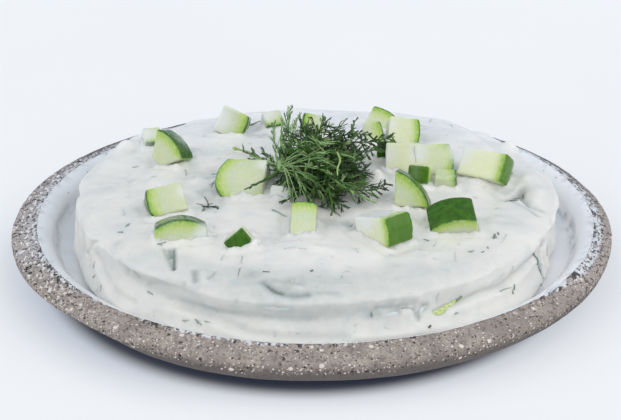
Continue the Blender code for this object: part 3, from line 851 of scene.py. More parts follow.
def stroke_lift(points):
    """How far the strokes push each point along its normal, and how much watery grey and painted shade they leave."""
    lift, shown = np.zeros(len(points)), np.zeros(len(points))
    for line, half, height, *watery_and_shade in STROKES:
        low, high = line.min(0) - 4 * half, line.max(0) + 4 * half
        near = np.flatnonzero(((points > low) & (points < high)).all(1))
        away = np.min(np.linalg.norm(points[near, None, :] - line[None, :, :], axis=2), axis=1)
        lift[near] += height * np.exp(-((away / half) ** 2))
        if watery_and_shade:
            shown[near] = np.maximum(shown[near], watery_and_shade[0] * np.exp(-((away / half / 0.9) ** 2)))
    return lift, shown


lift, watery_and_shade = stroke_lift(grid.reshape(-1, 3))
print("strokes push from", lift.min().round(2), "to", lift.max().round(2), "mm")

# %% [markdown]
# Yoghurt clings to whatever is pushed into it. Round each die the surface creeps up the cut side by about a
# millimetre, unevenly, and sinks again a little further out. We get that from the distance to each die.
# Where the dill lies on the dip, the surface stays nearer to its plain shape.

# %% Shape the dip
CLING, CLING_REACH, SINK, SINK_AT = 1.0, 1.2, 0.35, 3.0
normals = grid_normals(grid).reshape(-1, 3)
flat = grid.reshape(-1, 3)
lift += noise_at(flat * np.array([0.8, 1.2, 1.2]), 12.0, 2, 3.0) * 0.5
lift += noise_at(flat * np.array([0.9, 1.1, 1.4]), 5.0, 3, 4.0) * 0.16
cling = np.zeros(len(flat))
for die in DICE:
    near = np.flatnonzero(np.linalg.norm(flat - np.array(die[0]), axis=1) < 19)
    away = box_distance(flat[near], die)
    cling[near] = np.maximum(cling[near], CLING * np.exp(-((np.maximum(away, 0) / CLING_REACH) ** 2)))
    lift[near] -= SINK * np.exp(-(((away - SINK_AT) / 1.3) ** 2))
ragged_edge = 0.65 + 0.9 * noise_at(flat, 2.6, 3, 5.0)
lift += cling * ragged_edge * smoothstep(24.0, 27.0, flat[:, 2])
lift *= smoothstep(8.7, 11.5, flat[:, 2])
from_tuft = np.hypot(flat[:, 0] - TUFT[0], flat[:, 1] - TUFT[1])
dressed = flat + normals * (lift * (0.3 + 0.7 * smoothstep(10.0, 20.0, from_tuft)))[:, None]
dressed = np.concatenate([dressed, [[INSIDE_SHIFT, 0, 8.6], [INSIDE_SHIFT, 0, dip_top(INSIDE_SHIFT, 0.0)]]])
faces = closed_faces(len(grid), DIP_SEGMENTS)
dip = new_object("tzatziki_dip", dressed, faces, tzatziki_finish)
dip_hit = BVHTree.FromPolygons(dressed.tolist(), faces)
print("dip:", len(faces), "faces, lifted", lift.min().round(2), "to", lift.max().round(2), "mm")

# %% [markdown]
# Some stains are in known places: grated cucumber that shows through in the groove and in the wedge-shaped
# cut, and soft bluish-grey spots beside the dice, partly cucumber showing through and partly painted shade in
# the hollows round them. They are painted as soft spots: place, half-width and strength. The slope that
# leads down to the groove is painted a little greyer all along, and the back is painted whiter, as painted
# light.

# %% Paint the stains
# the spots beside the dice are partly cucumber showing through and partly painted shade in the hollows round them
STAINS = [
    (-8, -81, 28, 5.0, 0.2), (22, -83, 19.6, 3.6, 0.4), (28, -82, 19.4, 3.6, 0.4), (36, -79, 20, 3.0, 0.3),
    (34.4, -81, 18, 1.7, 0.7), (79.5, -39, 15, 2.0, 0.9), (78.6, -40, 18, 1.6, 0.7), (74, -8, 28.6, 2.4, 0.6),
    (71, -11, 28.6, 3.0, 0.5), (17, -2, 34, 3.0, 0.5), (13, -41, 31.4, 4.5, 0.5), (20, -41, 31.4, 4.0, 0.4),
    (-38, -14, 32, 4.4, 0.5), (-36, -2, 32, 4.2, 0.45), (-36, 8, 32, 4.0, 0.4), (-37, -24, 31, 3.6, 0.6),
    (-32, -20, 31.5, 3.0, 0.4), (-20, 44, 31, 4.5, 0.5), (-22, 52, 30, 3.0, 0.3), (17, -38, 31, 5.0, 0.5),
    (41, -34, 31, 3.2, 0.5), (-12, -54, 31.2, 3.6, 0.4), (-46, 27, 31, 3.6, 0.5), (-60, -57.5, 22.5, 3.0, 0.5),
    (-54, -64, 21.4, 2.6, 0.45), (-20, -73, 28.4, 3.0, 0.25), (-42, -75.5, 25.5, 2.0, 0.35),
    (57, 2, 31, 3.2, 0.4), (-66, -48, 27, 3.4, 0.25), (16, 3, 33, 6.0, 0.7), (26, -2, 32, 5.0, 0.5),
    (-69, 30, 29, 3.0, 0.3), (-2, -62, 30.6, 2.2, 0.15), (60, -32, 29, 3.0, 0.2), (-66, 2, 29, 2.6, 0.3),
    (44, 52, 29, 4.0, 0.25), (-40, 3, 31, 6.5, 0.22), (-37, -18, 30.5, 5.5, 0.3), (-9.5, -50, 30.5, 4, 0.3),
    (7.5, -41, 31, 4.5, 0.38), (35, -33, 31, 3.5, 0.45), (72, -6, 29, 6, 0.3), (-30, 28, 31, 6, 0.2),
    (-14, 34, 31, 6, 0.25),
]
stained = np.zeros(len(dressed))
for x, y, z, half, strength in STAINS:
    away = np.linalg.norm(dressed - np.array([x, y, z]), axis=1)
    stained = np.maximum(stained, strength * np.exp(-((away / half) ** 2)))
patchy = np.clip(0.85 + 1.1 * noise_at(dressed, 3.0, 3, 6.0), 0, 1.3)
angle = np.degrees(np.arctan2(dressed[:, 1], dressed[:, 0] - INSIDE_SHIFT))
outwards = smoothstep(68, 78, np.hypot(dressed[:, 0], dressed[:, 1]))
slope = np.exp(-(((angle + 93) / 44) ** 2)) * smoothstep(9.0, 23.0, dressed[:, 2]) * outwards
stained = np.maximum(stained * patchy, np.append(watery_and_shade, [0, 0])) + slope * 0.36 * (0.75 + 0.25 * patchy)
paint(dip, "veiled_and_shaded", np.clip(stained, 0, 1))
# painted light: how much whiter the dip is painted towards its back
paint(dip, "behind", smoothstep(0, 85, dressed[:, 1]))
print(len(STAINS), "stains,", int((stained > 0.3).sum()), "of", len(dressed), "points clearly veiled")

# %% [markdown]
# ## The dice, cut and wet
#
# A cucumber's colour depends on the depth below its skin: a thin dark green skin, then vivid green, then
# pale flesh that turns slightly yellow and glassy round the seeds. A die could be painted face by face, but
# the rings of colour run through it. So each die stores two numbers at every point, its depth below the
# skin and its height above the dip, and one material turns them into colour. A third says where a film of
# yoghurt covers it.

# %% Cucumber skin and flesh
cucumber = Finish("fresh_cucumber", subsurface_weight=0.35, subsurface_radius=(0.9, 1.0, 0.45),
                  subsurface_scale=0.0016, coat_roughness=0.08, ior=1.33, specular_ior_level=0.35)
depth = cucumber.painted("depth") + (cucumber.soft(2.6, 2.0) - 0.5) * 0.6
painted_light = cucumber.painted("painted_light")
fibres = cucumber.soft(0.9, 3.0, (0.5, 2.2, 1.2)).ramp(0.40, 0.70)
glassy = cucumber.soft(3.4, 2.0).ramp(0.50, 0.66) * depth.ramp(5.5, 8.0)
flesh = cucumber.layered(
    cucumber.mix(srgb(98, 146, 24), srgb(150, 188, 62), depth.ramp(0.5, 1.3)),
    ((188, 206, 122), depth.ramp(1.0, 3.0)),
    ((201, 211, 179), depth.ramp(2.4, 5.6)),
    ((209, 214, 181), depth.ramp(6.0, 9.5)),
    ((196, 210, 128), cucumber.soft(4.0).ramp(0.45, 0.65) * 0.25),
    ((220, 224, 206), fibres * 0.3),
    ((204, 212, 160), glassy * 0.45),
    # painted light: the flesh of the lit dice paler
    ((236, 238, 202), painted_light * depth.ramp(1.4, 4.5) * 0.75),
)
mottle = cucumber.soft(2.2, 4.0, (1.0, 1.0, 2.4)).ramp(0.38, 0.66)
peel = cucumber.layered(
    cucumber.mix(srgb(51, 92, 12), srgb(67, 111, 20), mottle),
    # painted light: the skin of the lit dice paler
    ((96, 142, 42), painted_light * 0.7),
    ((128, 162, 70), cucumber.soft(4.5).ramp(0.60, 0.74) * 0.25),
)
skinned = 1.0 - depth.ramp(0.40, 0.68)
smear = 1.0 - (cucumber.painted("above") + (cucumber.soft(2.4, 4.0) - 0.5) * 2.6).ramp(-0.1, 0.9)
film = (cucumber.painted("film") + (cucumber.soft(4.0, 2.0) - 0.5) * 0.25).ramp(0.1, 0.9, 0.0, 0.9)
smear = (smear * 0.9).larger(film)
cut_marks = cucumber.soft(0.8, 3.0, (3.0, 0.6, 3.0)) * 0.3 + cucumber.soft(1.8, 2.0) * 0.5 - glassy * 0.2
cucumber_finish = cucumber.wear(
    base_color=cucumber.layered(cucumber.mix(flesh, peel, skinned), ((229, 231, 228), smear)),
    roughness=cucumber.soft(2.0).ramp(0.35, 0.65, 0.18, 0.32) + smear * 0.1,
    coat_weight=0.1 + skinned * 0.2,
    normal=cucumber.bump(cut_marks, 0.35, 0.35),
)

# %% [markdown]
# A bevel would give every die the same clean edge. Instead the sharp prism is rebuilt from small voxels,
# which gives an even mesh, and then smoothed and made slightly uneven, as a knife leaves it. Each die is
# trimmed a little inside its solid, so that the yoghurt's hole round it stays clear.

# %% A die's mesh
TRIM, VOXEL = 0.12, 0.5


def die_outline(size, skin_radius, inner_share):
    """The die's end, as points (across, thick), a little inside its solid."""
    half, low, high = size[0] / 2 - TRIM, -size[1] / 2 + TRIM, size[1] / 2 - TRIM
    reach = math.asin(min(half / skin_radius, 0.98))
    points = [(max(half * inner_share, 0.3), low), (-max(half * inner_share, 0.3), low)]
    for share in np.linspace(-1, 1, 15):
        bend = reach * share
        above = skin_radius * (math.cos(bend) - math.cos(reach))
        points.append((half * math.sin(bend) / math.sin(reach), high + above))
    return points


def even_mesh(outline, half_length):
    """A prism through the outline, rebuilt from voxels with its edges softened."""
    count = len(outline)
    points = [(x, y, z) for y in (-half_length, half_length) for x, z in outline]
    sides = [list(range(count)), list(range(2 * count - 1, count - 1, -1))]
    sides += [[i, i + count, (i + 1) % count + count, (i + 1) % count] for i in range(count)]
    rough = new_object("rough_die", points, sides)
    remesh = rough.modifiers.new("even mesh", "REMESH")
    remesh.mode, remesh.voxel_size = "VOXEL", VOXEL * MM
    soften = rough.modifiers.new("knife edges", "SMOOTH")
    soften.factor, soften.iterations = 0.5, 3
    mesh = bpy.data.meshes.new_from_object(rough.evaluated_get(bpy.context.evaluated_depsgraph_get()))
    bpy.data.objects.remove(rough)
    return mesh


print("a die's end has", len(die_outline((10, 10, 10), WHOLE, 1.0)), "points")

# %% Cut the dice


def cut_die(number, place, size, turn_degrees, skin_radius=WHOLE, inner_share=1.0):
    mesh = even_mesh(die_outline(size, skin_radius, inner_share), size[2] / 2 - TRIM)
    local = np.empty(len(mesh.vertices) * 3, np.float32)
    mesh.vertices.foreach_get("co", local)
    local = local.reshape(-1, 3) / MM
    bend = math.asin(min(size[0] / 2 / skin_radius, 0.98))
    axis_height = size[1] / 2 + skin_radius * (1 - math.cos(bend)) - skin_radius
    depth = skin_radius - np.hypot(local[:, 0], local[:, 2] - axis_height)
    uneven = noise_at(local, 5.0, 2, 7.0 + number)[:, None] * 0.16
    local = local * (1 - uneven / np.maximum(np.linalg.norm(local, axis=1, keepdims=True), 2.0))
    turned, middle = die_matrix(place, turn_degrees)
    world = local @ turned.T + middle
    mesh.vertices.foreach_set("co", (world * MM).astype(np.float32).ravel())
    mesh.shade_smooth()
    obj = bpy.data.objects.new(f"cucumber_die_{number:02d}", mesh)
    mesh.materials.append(cucumber_finish)
    bpy.context.scene.collection.objects.link(obj)
    paint(obj, "depth", depth)
    paint(obj, "above", world[:, 2] - dip_top(world[:, 0], world[:, 1]))
    smears = [f[4] * np.exp(-np.sum((world - np.array(f[:3])) ** 2, axis=1) / f[3] ** 2) for f in FILMS]
    paint(obj, "film", np.max(smears, axis=0))
    # painted light: how much lighter this die is painted
    paint(obj, "painted_light", np.full(len(world), LIT_DICE.get(number, 0.0)))
    return obj


bpy.context.view_layer.update()
dice = [cut_die(number, *die) for number, die in enumerate(DICE, 1)]
print("dice:", sum(len(d.data.polygons) for d in dice), "faces")

# %% [markdown]
# ## Dill, thread by thread
#
# A dill leaf is a feather of fine threads: a stem with pairs of branches, and on each branch shorter threads
# in twos and threes, all 0.3 to 0.7 mm thick and pointed. Hair particles could grow them, but they aren't a
# mesh. So every thread is a short curve of points, and all the curves become thin tapering tubes in one
# mesh. Chance comes from one seeded generator, so that each run draws the same threads.

# %% Threads
rng = np.random.default_rng(7)


def unit(vector):
    return vector / max(np.linalg.norm(vector), 1e-9)


def smooth_path(stops, count):
    """A smooth curve through a few stops, with count points evenly along it."""
    stops = np.array(stops, float)
    padded = np.concatenate([[2 * stops[0] - stops[1]], stops, [2 * stops[-1] - stops[-2]]])
    points = []
    for a, b, c, d in zip(padded, padded[1:], padded[2:], padded[3:]):
        for t in np.linspace(0, 1, 8, endpoint=False):
            points.append(0.5 * (
                2 * b + (c - a) * t + (2 * a - 5 * b + 4 * c - d) * t * t + (3 * b - a - 3 * c + d) * t**3
            ))
    points.append(stops[-1])
    line = np.array(points)
    reach = np.concatenate([[0], np.cumsum(np.linalg.norm(np.diff(line, axis=0), axis=1))])
    wanted = np.linspace(0, reach[-1], count)
    return np.stack([np.interp(wanted, reach, line[:, axis]) for axis in range(3)], 1)


def thread(start, heading, length, bend, count):
    """A short curve that sets off along heading and is drawn towards bend."""
    t = np.linspace(0, 1, count)[:, None]
    return start + unit(heading) * length * t + bend * length * t * t


print("a path through 3 stops:", smooth_path([(0, 0, 0), (5, 0, 2), (10, 0, 3)], 4).round(2).tolist())

# %% [markdown]
# A sprig is a few numbers then: a path for its stem, how far its branches reach, how many pairs there are,
# how far they open and which way the leaf faces. A loose curl is one thread in an arc, with a few twigs.

# %% Grow a sprig


def sprig(stops, reach, pairs, stem=0.75, first=0.12, open_angle=28.0, shade=0.5, forks=2, lift=0.1, fine=1.0,
          facing=(0.15, -0.25, 1.0)):
    """Threads of one dill sprig whose stem runs through stops; shade is 0 for dark and 1 for light."""
    stem_line = smooth_path(stops, 16)
    threads = [(stem_line, stem, 0.4, shade + 0.15)]
    for pair in range(pairs):
        for hand in (-1, 1):
            along = first + (0.985 - first) * (pair + (0.3 if hand < 0 else 0.7)) / pairs
            row = min(int(along * 15), 14)
            start = stem_line[row] + (stem_line[row + 1] - stem_line[row]) * (along * 15 - row)
            ahead = unit(stem_line[row + 1] - stem_line[row])
            up = unit(np.array(facing) + rng.normal(0, 0.35, 3))
            across = unit(np.cross(ahead, up))
            length = reach * (1.2 - 0.55 * along) * rng.uniform(0.75, 1.2)
            opened = math.radians(open_angle * rng.uniform(0.7, 1.3))
            heading = ahead * math.cos(opened) + hand * across * math.sin(opened) + up * rng.normal(lift, 0.18)
            drawn = -0.5 * hand * across + 0.2 * ahead + np.array([0, 0, -0.25]) + rng.normal(0, 0.14, 3)
            branch = thread(start, heading, length, drawn * 0.45, 7)
            tint = float(np.clip(shade + rng.normal(0, 0.22), 0, 1))
            threads.append((branch, 0.56 * fine, 0.32 * fine, tint))
            for fork in range(forks):
                at = branch[1] + (branch[5] - branch[1]) * (fork + rng.uniform(0.1, 0.6)) / (forks + 0.3)
                away = unit(branch[6] - branch[3])
                for other in (-1, 1):
                    sideways = unit(np.cross(away, up + rng.normal(0, 0.5, 3)))
                    out = away + other * sideways * rng.uniform(0.28, 0.5)
                    size = length * rng.uniform(0.4, 0.62)
                    drawn = -0.35 * other * sideways + rng.normal(0, 0.1, 3)
                    threads.append((thread(at, out, size, drawn * 0.5, 6), 0.46 * fine, 0.28 * fine, tint))
    return threads


print("a small sprig has", len(sprig([(0, 0, 0), (5, 0, 2), (10, 0, 3)], 4, 4)), "threads")

# %% Curl a loose thread
CURL_STEPS, TWIGS = 9, 4


def curl(start, heading, length, bend_degrees, thick=0.52, shade=0.5):
    """A loose thread that runs in an arc, with a few short twigs along it."""
    heading = unit(heading)
    side = unit(np.cross(heading, rng.normal(0, 1, 3)))
    points, ahead = [np.array(start, float)], heading
    turned = math.radians(bend_degrees) / CURL_STEPS
    for _ in range(CURL_STEPS):
        ahead = unit(ahead * math.cos(turned) + side * math.sin(turned) + np.array([0, 0, -0.02]))
        points.append(points[-1] + ahead * length / CURL_STEPS)
    path = np.array(points)
    threads = [(path, thick, 0.32, shade)]
    for _ in range(TWIGS):
        row = int(rng.integers(2, CURL_STEPS - 1))
        away = unit(path[row + 1] - path[row])
        out = away + unit(rng.normal(0, 1, 3)) * 0.6
        threads.append((thread(path[row], out, length * rng.uniform(0.25, 0.42), 0.2 * away, 5), 0.46, 0.28, shade))
    return threads


print("a curl has", 1 + TWIGS, "threads")

# %% [markdown]
# ## The tuft
#
# The tuft is a handful of sprigs dropped in a heap. The ones that show as separate are placed one by one:
# the tall one leaning back on the left, a fan of arching threads from a pale joint, a frond reaching right,
# a feathery end low on the right, a stalk pointing forward and a thin stem lying out to the left. Each
# thread stores its own shade. That is partly dill's own colour, since its young ends are paler and yellower
# than its old leaves, and partly painted light and shade, pale out in the light and dark deep in the heap.

# %% Dill's finish
dill = Finish("fresh_dill", subsurface_weight=0.12, subsurface_scale=0.0006, ior=1.4,
              coat_weight=0.3, coat_roughness=0.3)
shade = dill.painted("shade")
# each thread's shade runs from dark to pale: partly dill's own colour, partly painted shade deep in the heap and
# painted light on top
leaf = dill.layered(
    dill.mix(srgb(24, 48, 12), srgb(72, 112, 42), shade.ramp(0.1, 0.6)),
    ((160, 192, 128), shade.ramp(0.6, 1.0)),
    ((190, 204, 96), shade.ramp(1.15, 1.4)),
    ((62, 98, 42), dill.soft(1.4, 3.0).ramp(0.45, 0.65) * 0.3),
)
dill_finish = dill.wear(
    base_color=leaf,
    roughness=dill.soft(0.8).ramp(0.35, 0.65, 0.34, 0.5),
    normal=dill.bump(dill.soft(0.3, 2.0), 0.3, 0.1),
)

# %% Place the sprigs at the left
JOINT = (-11.8, -14.5, 40.5)
tuft_threads = []


def grow(stops, reach, pairs, **habit):
    tuft_threads.extend(sprig(stops, reach, pairs, **habit))


# the tall plume that leans back, and two low fronds behind it
grow([JOINT, (-10, -4, 44.5), (-9, 7, 48), (-8, 21, 50.6)], 7.5, 8, open_angle=20, shade=0.8, fine=0.8)
grow([JOINT, (-13, -3, 43.5), (-14, 7, 46), (-14.4, 15, 47)], 6.0, 5, open_angle=20, shade=0.7, forks=1, fine=0.8)
grow([JOINT, (-11.4, -5, 44), (-11, 4, 47), (-11.0, 15, 49)], 7.0, 6, open_angle=18, shade=0.85, forks=1, fine=0.8)
grow([JOINT, (-9, -6, 44), (-7.0, 5, 47.4), (-5.6, 14, 49.4)], 7.0, 6, open_angle=20, shade=0.7, fine=0.8)
grow([(-13, -12, 40), (-17, -6, 41), (-21, -2, 41.4)], 5.0, 5, open_angle=30, shade=0.5, fine=0.9)
grow([(-12, -8, 38), (-15, -1, 39), (-18, 6, 40)], 5.0, 4, open_angle=30, shade=0.45, fine=0.9)
# the fan of sprigs from the pale joint
for stops in (
    [(-4, -15, 45), (4, -13, 47), (12, -13, 46)], [(-5, -20, 44.5), (3, -24, 45), (9, -29, 42)],
    [(-6, -22, 43.5), (0, -27, 42.5), (4, -32, 38)], [(-7, -21, 42), (-3, -26, 40), (-1, -31, 36)],
    [(-5, -12, 45), (3, -8, 48), (10, -5, 48)], [(-6, -17, 44.5), (2, -19, 47), (9, -22, 45)],
):
    grow([JOINT, *stops], 6.0, 5, first=0.42, open_angle=26, shade=0.66, forks=1, stem=0.6)
print("so far", len(tuft_threads), "threads")

# %% Arching threads over the fan
for turn_step in range(14):
    way = turn_step * 0.12 - 1.25
    heading = np.array([math.cos(way), math.sin(way), 0.0])
    start = np.array(JOINT) + rng.uniform(0, 1) * np.array([4.0, 6.0, 4.5]) * (turn_step > 5)
    end = start + heading * rng.uniform(12, 20) + np.array([rng.uniform(0, 3), -2.0, -4.0])
    crest = (start * 0.6 + end * 0.4) + np.array([0, 2.0, rng.uniform(3.5, 6.5)])
    line = smooth_path([start, crest, end], 11)
    tuft_threads.append((line, 0.6, 0.3, rng.uniform(0.7, 1.0)))
    for row in (5, 7, 8):
        away = unit(line[row + 1] - line[row])
        out = away + np.cross(away, np.array([0, 0, 1.0])) * rng.uniform(-0.5, 0.5)
        twig = thread(line[row], out, rng.uniform(3.5, 7.0), np.array([0, 0, -0.2]), 6)
        tuft_threads.append((twig, 0.5, 0.28, rng.uniform(0.6, 0.95)))
print("so far", len(tuft_threads), "threads")

# %% Place the sprigs at the right and in front
FORWARD = (0.2, -1.0, 0.5)
# the long frond that reaches right, and two shorter ones over it
grow([(4, -11, 46), (12, 1, 45), (21, 9, 42), (31, 19, 40)], 4.8, 15, open_angle=48, shade=0.25, facing=FORWARD)
grow([(6, -16, 45), (15, -5, 43), (22, 3, 41), (27, 13, 38)], 4.0, 9, open_angle=50, shade=0.2, facing=FORWARD)
grow([(8, -2, 48), (15, 7, 46), (22, 13, 43)], 3.6, 8, open_angle=50, shade=0.3, facing=FORWARD)
# the feathery end low on the right, and what fills the corner under it
grow([(8, -25, 42), (16, -27, 39), (22, -25, 37.6), (27, -18, 37)], 5.5, 9,
     open_angle=46, shade=0.4, fine=0.85, facing=(0, -1, 0.7))
grow([(2, -22, 40), (6, -27, 37), (11, -33, 34.6)], 4.5, 7, open_angle=44, shade=0.3)
grow([(10, -12, 43), (15, -14, 40), (19, -16, 38)], 4.5, 6, open_angle=44, shade=0.3)
grow([(10, -26, 40), (16, -28, 37.5), (21, -30, 35.5)], 4.0, 4, shade=0.9, forks=1)
# the stalk that points forward, a cut stalk at the left of it, and a dark frond between them
grow([(6, -20, 44), (6, -29, 39.5), (7, -35, 37), (7, -40, 34.6)], 2.8, 5, stem=1.1, open_angle=44, shade=0.45, forks=1)
grow([JOINT, (-16, -17, 38.4), (-20, -20.5, 37.8), (-23, -23.5, 37.4)], 2.6, 4, stem=1.5, shade=0.3, forks=1)
grow([(-3, -24, 37), (-7, -28, 36), (-10, -30, 35.4)], 3.5, 5, shade=0.2, forks=2)
# the crown at the back
grow([(-1, -13, 45.5), (0, -6, 48), (3, 2, 50), (6, 11, 50)], 5.5, 7, open_angle=38, shade=0.45)
grow([(-4, -13, 45.5), (-2, -3, 48), (-1, 10, 48.6)], 5.5, 6, open_angle=38, shade=0.4)
grow([(14, 3, 44), (15, 10, 46), (16, 17, 47.4)], 3.2, 5, open_angle=34, shade=0.4, forks=1)
# one yellow stem on top, and the pale one that lies out to the left with its cut end and two twigs
for stops, count, thick, thin, light in (
    ([(9, -17, 48.6), (10, -22, 47.8), (9, -26, 46.4), (9, -29, 45)], 10, 0.8, 0.55, 1.25),
    ([(-8, -12, 39), (-18, 5, 36), (-23, 16, 34.8), (-29, 22, 34)], 14, 0.9, 0.95, 0.95),
    ([(-28.4, 21.4, 34.1), (-29.4, 22.4, 33.9)], 3, 1.5, 1.4, 1.4),
):
    tuft_threads.append((smooth_path(stops, count), thick, thin, light))
grow([(-22, 14, 35.2), (-24.6, 10, 37.4), (-25.4, 9, 40.2)], 3.6, 2, stem=0.4, shade=0.35, forks=0, open_angle=30)
grow([(-19, 8, 35.8), (-21.6, 4, 37.2), (-23, 1, 38.6)], 3.2, 2, stem=0.4, shade=0.35, forks=0, open_angle=30)
print("so far", len(tuft_threads), "threads")

# %% [markdown]
# Between them the heap is a tangle that nobody would place by hand. Two rings of sprigs arch out from the
# middle in every direction, and hundreds of loose curls fill the gaps: most of them all over, some low in
# front, some on the crown. The higher ones are more often in the light, so more of them are pale.

# %% Fill the heap
HEAP = (2.5, -9.0)
CURLS, FIRST_IN_FRONT, FIRST_ON_CROWN = 350, 250, 290


def arching(angle, length, height):
    """A stem that rises from the middle of the heap and comes down at its edge."""
    out = np.array([0.82 * math.cos(angle), math.sin(angle) * (1.25 if math.sin(angle) < 0 else 0.9), 0.0])
    out *= 1 - 0.45 * math.exp(-(((angle % math.tau) - 3.75) / 0.6) ** 2)
    start = np.array([*HEAP, 35.0]) + out * 1.5 + rng.normal(0, 2.0, 3) * np.array([1, 1, 0.2])
    crest = start + out * length * 0.45 + np.array([0, 0, height])
    end = start + out * length + np.array([0, 0, -0.5 + rng.uniform(0, 2.5)])
    return [start, crest, (crest * 0.35 + end * 0.65) + np.array([0, 0, height * 0.28]), end]


for turn_step in range(13):
    angle = turn_step * math.tau / 13 + rng.uniform(-0.15, 0.15)
    height = rng.uniform(6.5, 10.0)
    grow(arching(angle, rng.uniform(13, 17), height), 7.0, 5, shade=rng.uniform(0.2, 0.55))
for turn_step in range(8):
    angle = turn_step * math.tau / 8 + 0.2
    grow(arching(angle, rng.uniform(7, 11), rng.uniform(9, 12)), 6.5, 4, shade=rng.uniform(0.3, 0.65))
for piece in range(CURLS):
    in_front = piece >= FIRST_IN_FRONT
    angle, reach = rng.uniform(0, math.tau), math.sqrt(rng.uniform(0, 1))
    across, deep = math.cos(angle), math.sin(angle)
    high = rng.uniform(0.1, 1.15) * (0.6 if in_front else 1.0)
    if piece >= FIRST_ON_CROWN:
        place = np.array([2 + 7 * reach * across, 3 + 8 * reach * deep, rng.uniform(42, 49)])
    elif in_front:
        place = np.array([6.5 + 5.0 * reach * across, -23 + 5.0 * reach * deep, 36.0 + (10.5 - 7.0 * reach) * high])
    else:
        place = np.array([HEAP[0] + 1.5 + 13 * reach * across, HEAP[1] - 1 + 17 * reach * deep,
                          36.0 + (10.5 - 7.0 * reach) * high])
    heading = np.array([math.cos(angle + rng.normal(0, 1.3)), math.sin(angle + rng.normal(0, 1.3)),
                        rng.normal(0.15, 0.35)])
    light = rng.uniform(0.65, 1.0) if rng.uniform() < 0.45 * high else rng.uniform(0.0, 0.5)
    tuft_threads += curl(place, heading, rng.uniform(5, 10.5), rng.uniform(60, 190), shade=light)
print("so far", len(tuft_threads), "threads")

# %% [markdown]
# Now the curves become tubes: a ring of four points stands round each point of a thread, and the rings grow
# smaller towards its end. What would sink into the dip is lifted on to it first, and nothing stands higher
# than the tuft's solid.

# %% Make the tuft
TUFT_TOP = 52.2


def tube_mesh(name, threads, sides, finish):
    """One mesh of tapering tubes. A thread is (points, thickness at the start, at the end, shade)."""
    points, faces, shades = [], [], []
    ring = np.linspace(0, math.tau, sides, endpoint=False)
    for path, thick, thin, shade in threads:
        heading = np.gradient(path, axis=0)
        heading /= np.maximum(np.linalg.norm(heading, axis=1, keepdims=True), 1e-9)
        guide = np.array([0.0, 0.0, 1.0]) if abs(heading[0, 2]) < 0.8 else np.array([1.0, 0.0, 0.0])
        across = np.cross(heading, guide)
        across /= np.linalg.norm(across, axis=1, keepdims=True)
        over = np.cross(heading, across)
        radii = np.linspace(thick, thin, len(path))[:, None, None] / 2
        turned = np.cos(ring)[None, :, None] * across[:, None] + np.sin(ring)[None, :, None] * over[:, None]
        first = len(points)
        points.extend((path[:, None] + radii * turned).reshape(-1, 3).tolist())
        faces.extend([first + i for i in face] for face in capped_faces(len(path), sides))
        shades.extend([shade] * (len(path) * sides))
    obj = new_object(name, points, faces, finish)
    paint(obj, "shade", shades)
    print(name + ":", len(threads), "threads,", len(faces), "faces")
    return obj


kept = []
for path, thick, thin, light in tuft_threads:
    low = dip_top(path[:, 0], path[:, 1]) + 0.25
    kept.append((np.column_stack([path[:, :2], np.clip(path[:, 2], low, TUFT_TOP)]), thick, thin, light))
tuft = tube_mesh("dill_tuft_sprigs", kept, 4, dill_finish)

# %% [markdown]
# Threads alone would let the white dip shine through the heap. A low, rough lump under them stands in for
# all the leaves that can't be seen, well inside the tuft's solid. It is painted dark, as painted shade,
# since the inside of the heap lies in shade.

# %% The dark core of the heap
CORE_RINGS, CORE_SEGMENTS = 14, 48
around = np.linspace(0, math.tau, CORE_SEGMENTS, endpoint=False)
core_rings = []
for share in np.linspace(1.0, 0.06, CORE_RINGS):
    reach = 10.5 * share * (1 + 0.12 * np.sin(5 * around) + 0.08 * np.sin(9 * around + 1))
    x, y = HEAP[0] + reach * np.cos(around), HEAP[1] + reach * np.sin(around)
    core_rings.append(np.stack([x, y, dip_top(x, y) + 0.3 + 6.0 * (1 - share**2.2)], -1))
core_grid = np.stack(core_rings)
core_points = core_grid.reshape(-1, 3)
lumps = grid_normals(core_grid).reshape(-1, 3) * (noise_at(core_points, 2.2, 4, 9.0) * 1.2)[:, None]
core_points[CORE_SEGMENTS:] += lumps[CORE_SEGMENTS:]
core_faces = capped_faces(CORE_RINGS, CORE_SEGMENTS)
core = new_object("dill_tuft_core", core_points, core_faces, dill_finish)
# painted shade: the core is painted dark, as the inside of the heap lies in shade
paint(core, "shade", np.clip(0.05 + 0.25 * noise_at(core_points, 1.5, 3, 8.0), 0, 0.4))
print("core:", len(core_faces), "faces")

# %% [markdown]
# ## Loose herbs and grated cucumber
#
# Chopped dill is stirred all through the dip. A few pieces lie on top, dark and sharp. More lie half sunk,
# and the yoghurt over them turns them grey. Each piece is a thread or a little fork of threads laid on the
# surface: a ray or the nearest point on the dip's mesh says where that is. A stored value says how deeply
# it is veiled.

# %% Finish of the chopped herbs
herb = Finish("chopped_dill", subsurface_weight=0.1, subsurface_scale=0.0006, ior=1.4)
sunk = herb.painted("shade")
tint = herb.layered(
    herb.mix(srgb(48, 68, 50), srgb(148, 162, 156), sunk.ramp(0.0, 0.45)),
    ((212, 218, 215), sunk.ramp(0.45, 0.85)),
    ((150, 168, 160), herb.soft(0.8, 3.0).ramp(0.5, 0.7) * 0.3),
)
herb_finish = herb.wear(
    base_color=tint,
    roughness=herb.soft(0.6).ramp(0.35, 0.65, 0.35, 0.5),
    normal=herb.bump(herb.soft(0.4, 2.0), 0.3, 0.1),
)

# %% Find the surface and lay a piece on it


def level(degrees):
    """A level direction, turned from +X."""
    return np.array([math.cos(math.radians(degrees)), math.sin(math.radians(degrees)), 0.0])


def on_dip(x, y):
    """The point of the dip's top straight below a place, and its normal."""
    spot, normal, _, _ = dip_hit.ray_cast(Vector((x, y, 60)), Vector((0, 0, -1)))
    return np.array(spot), np.array(normal)


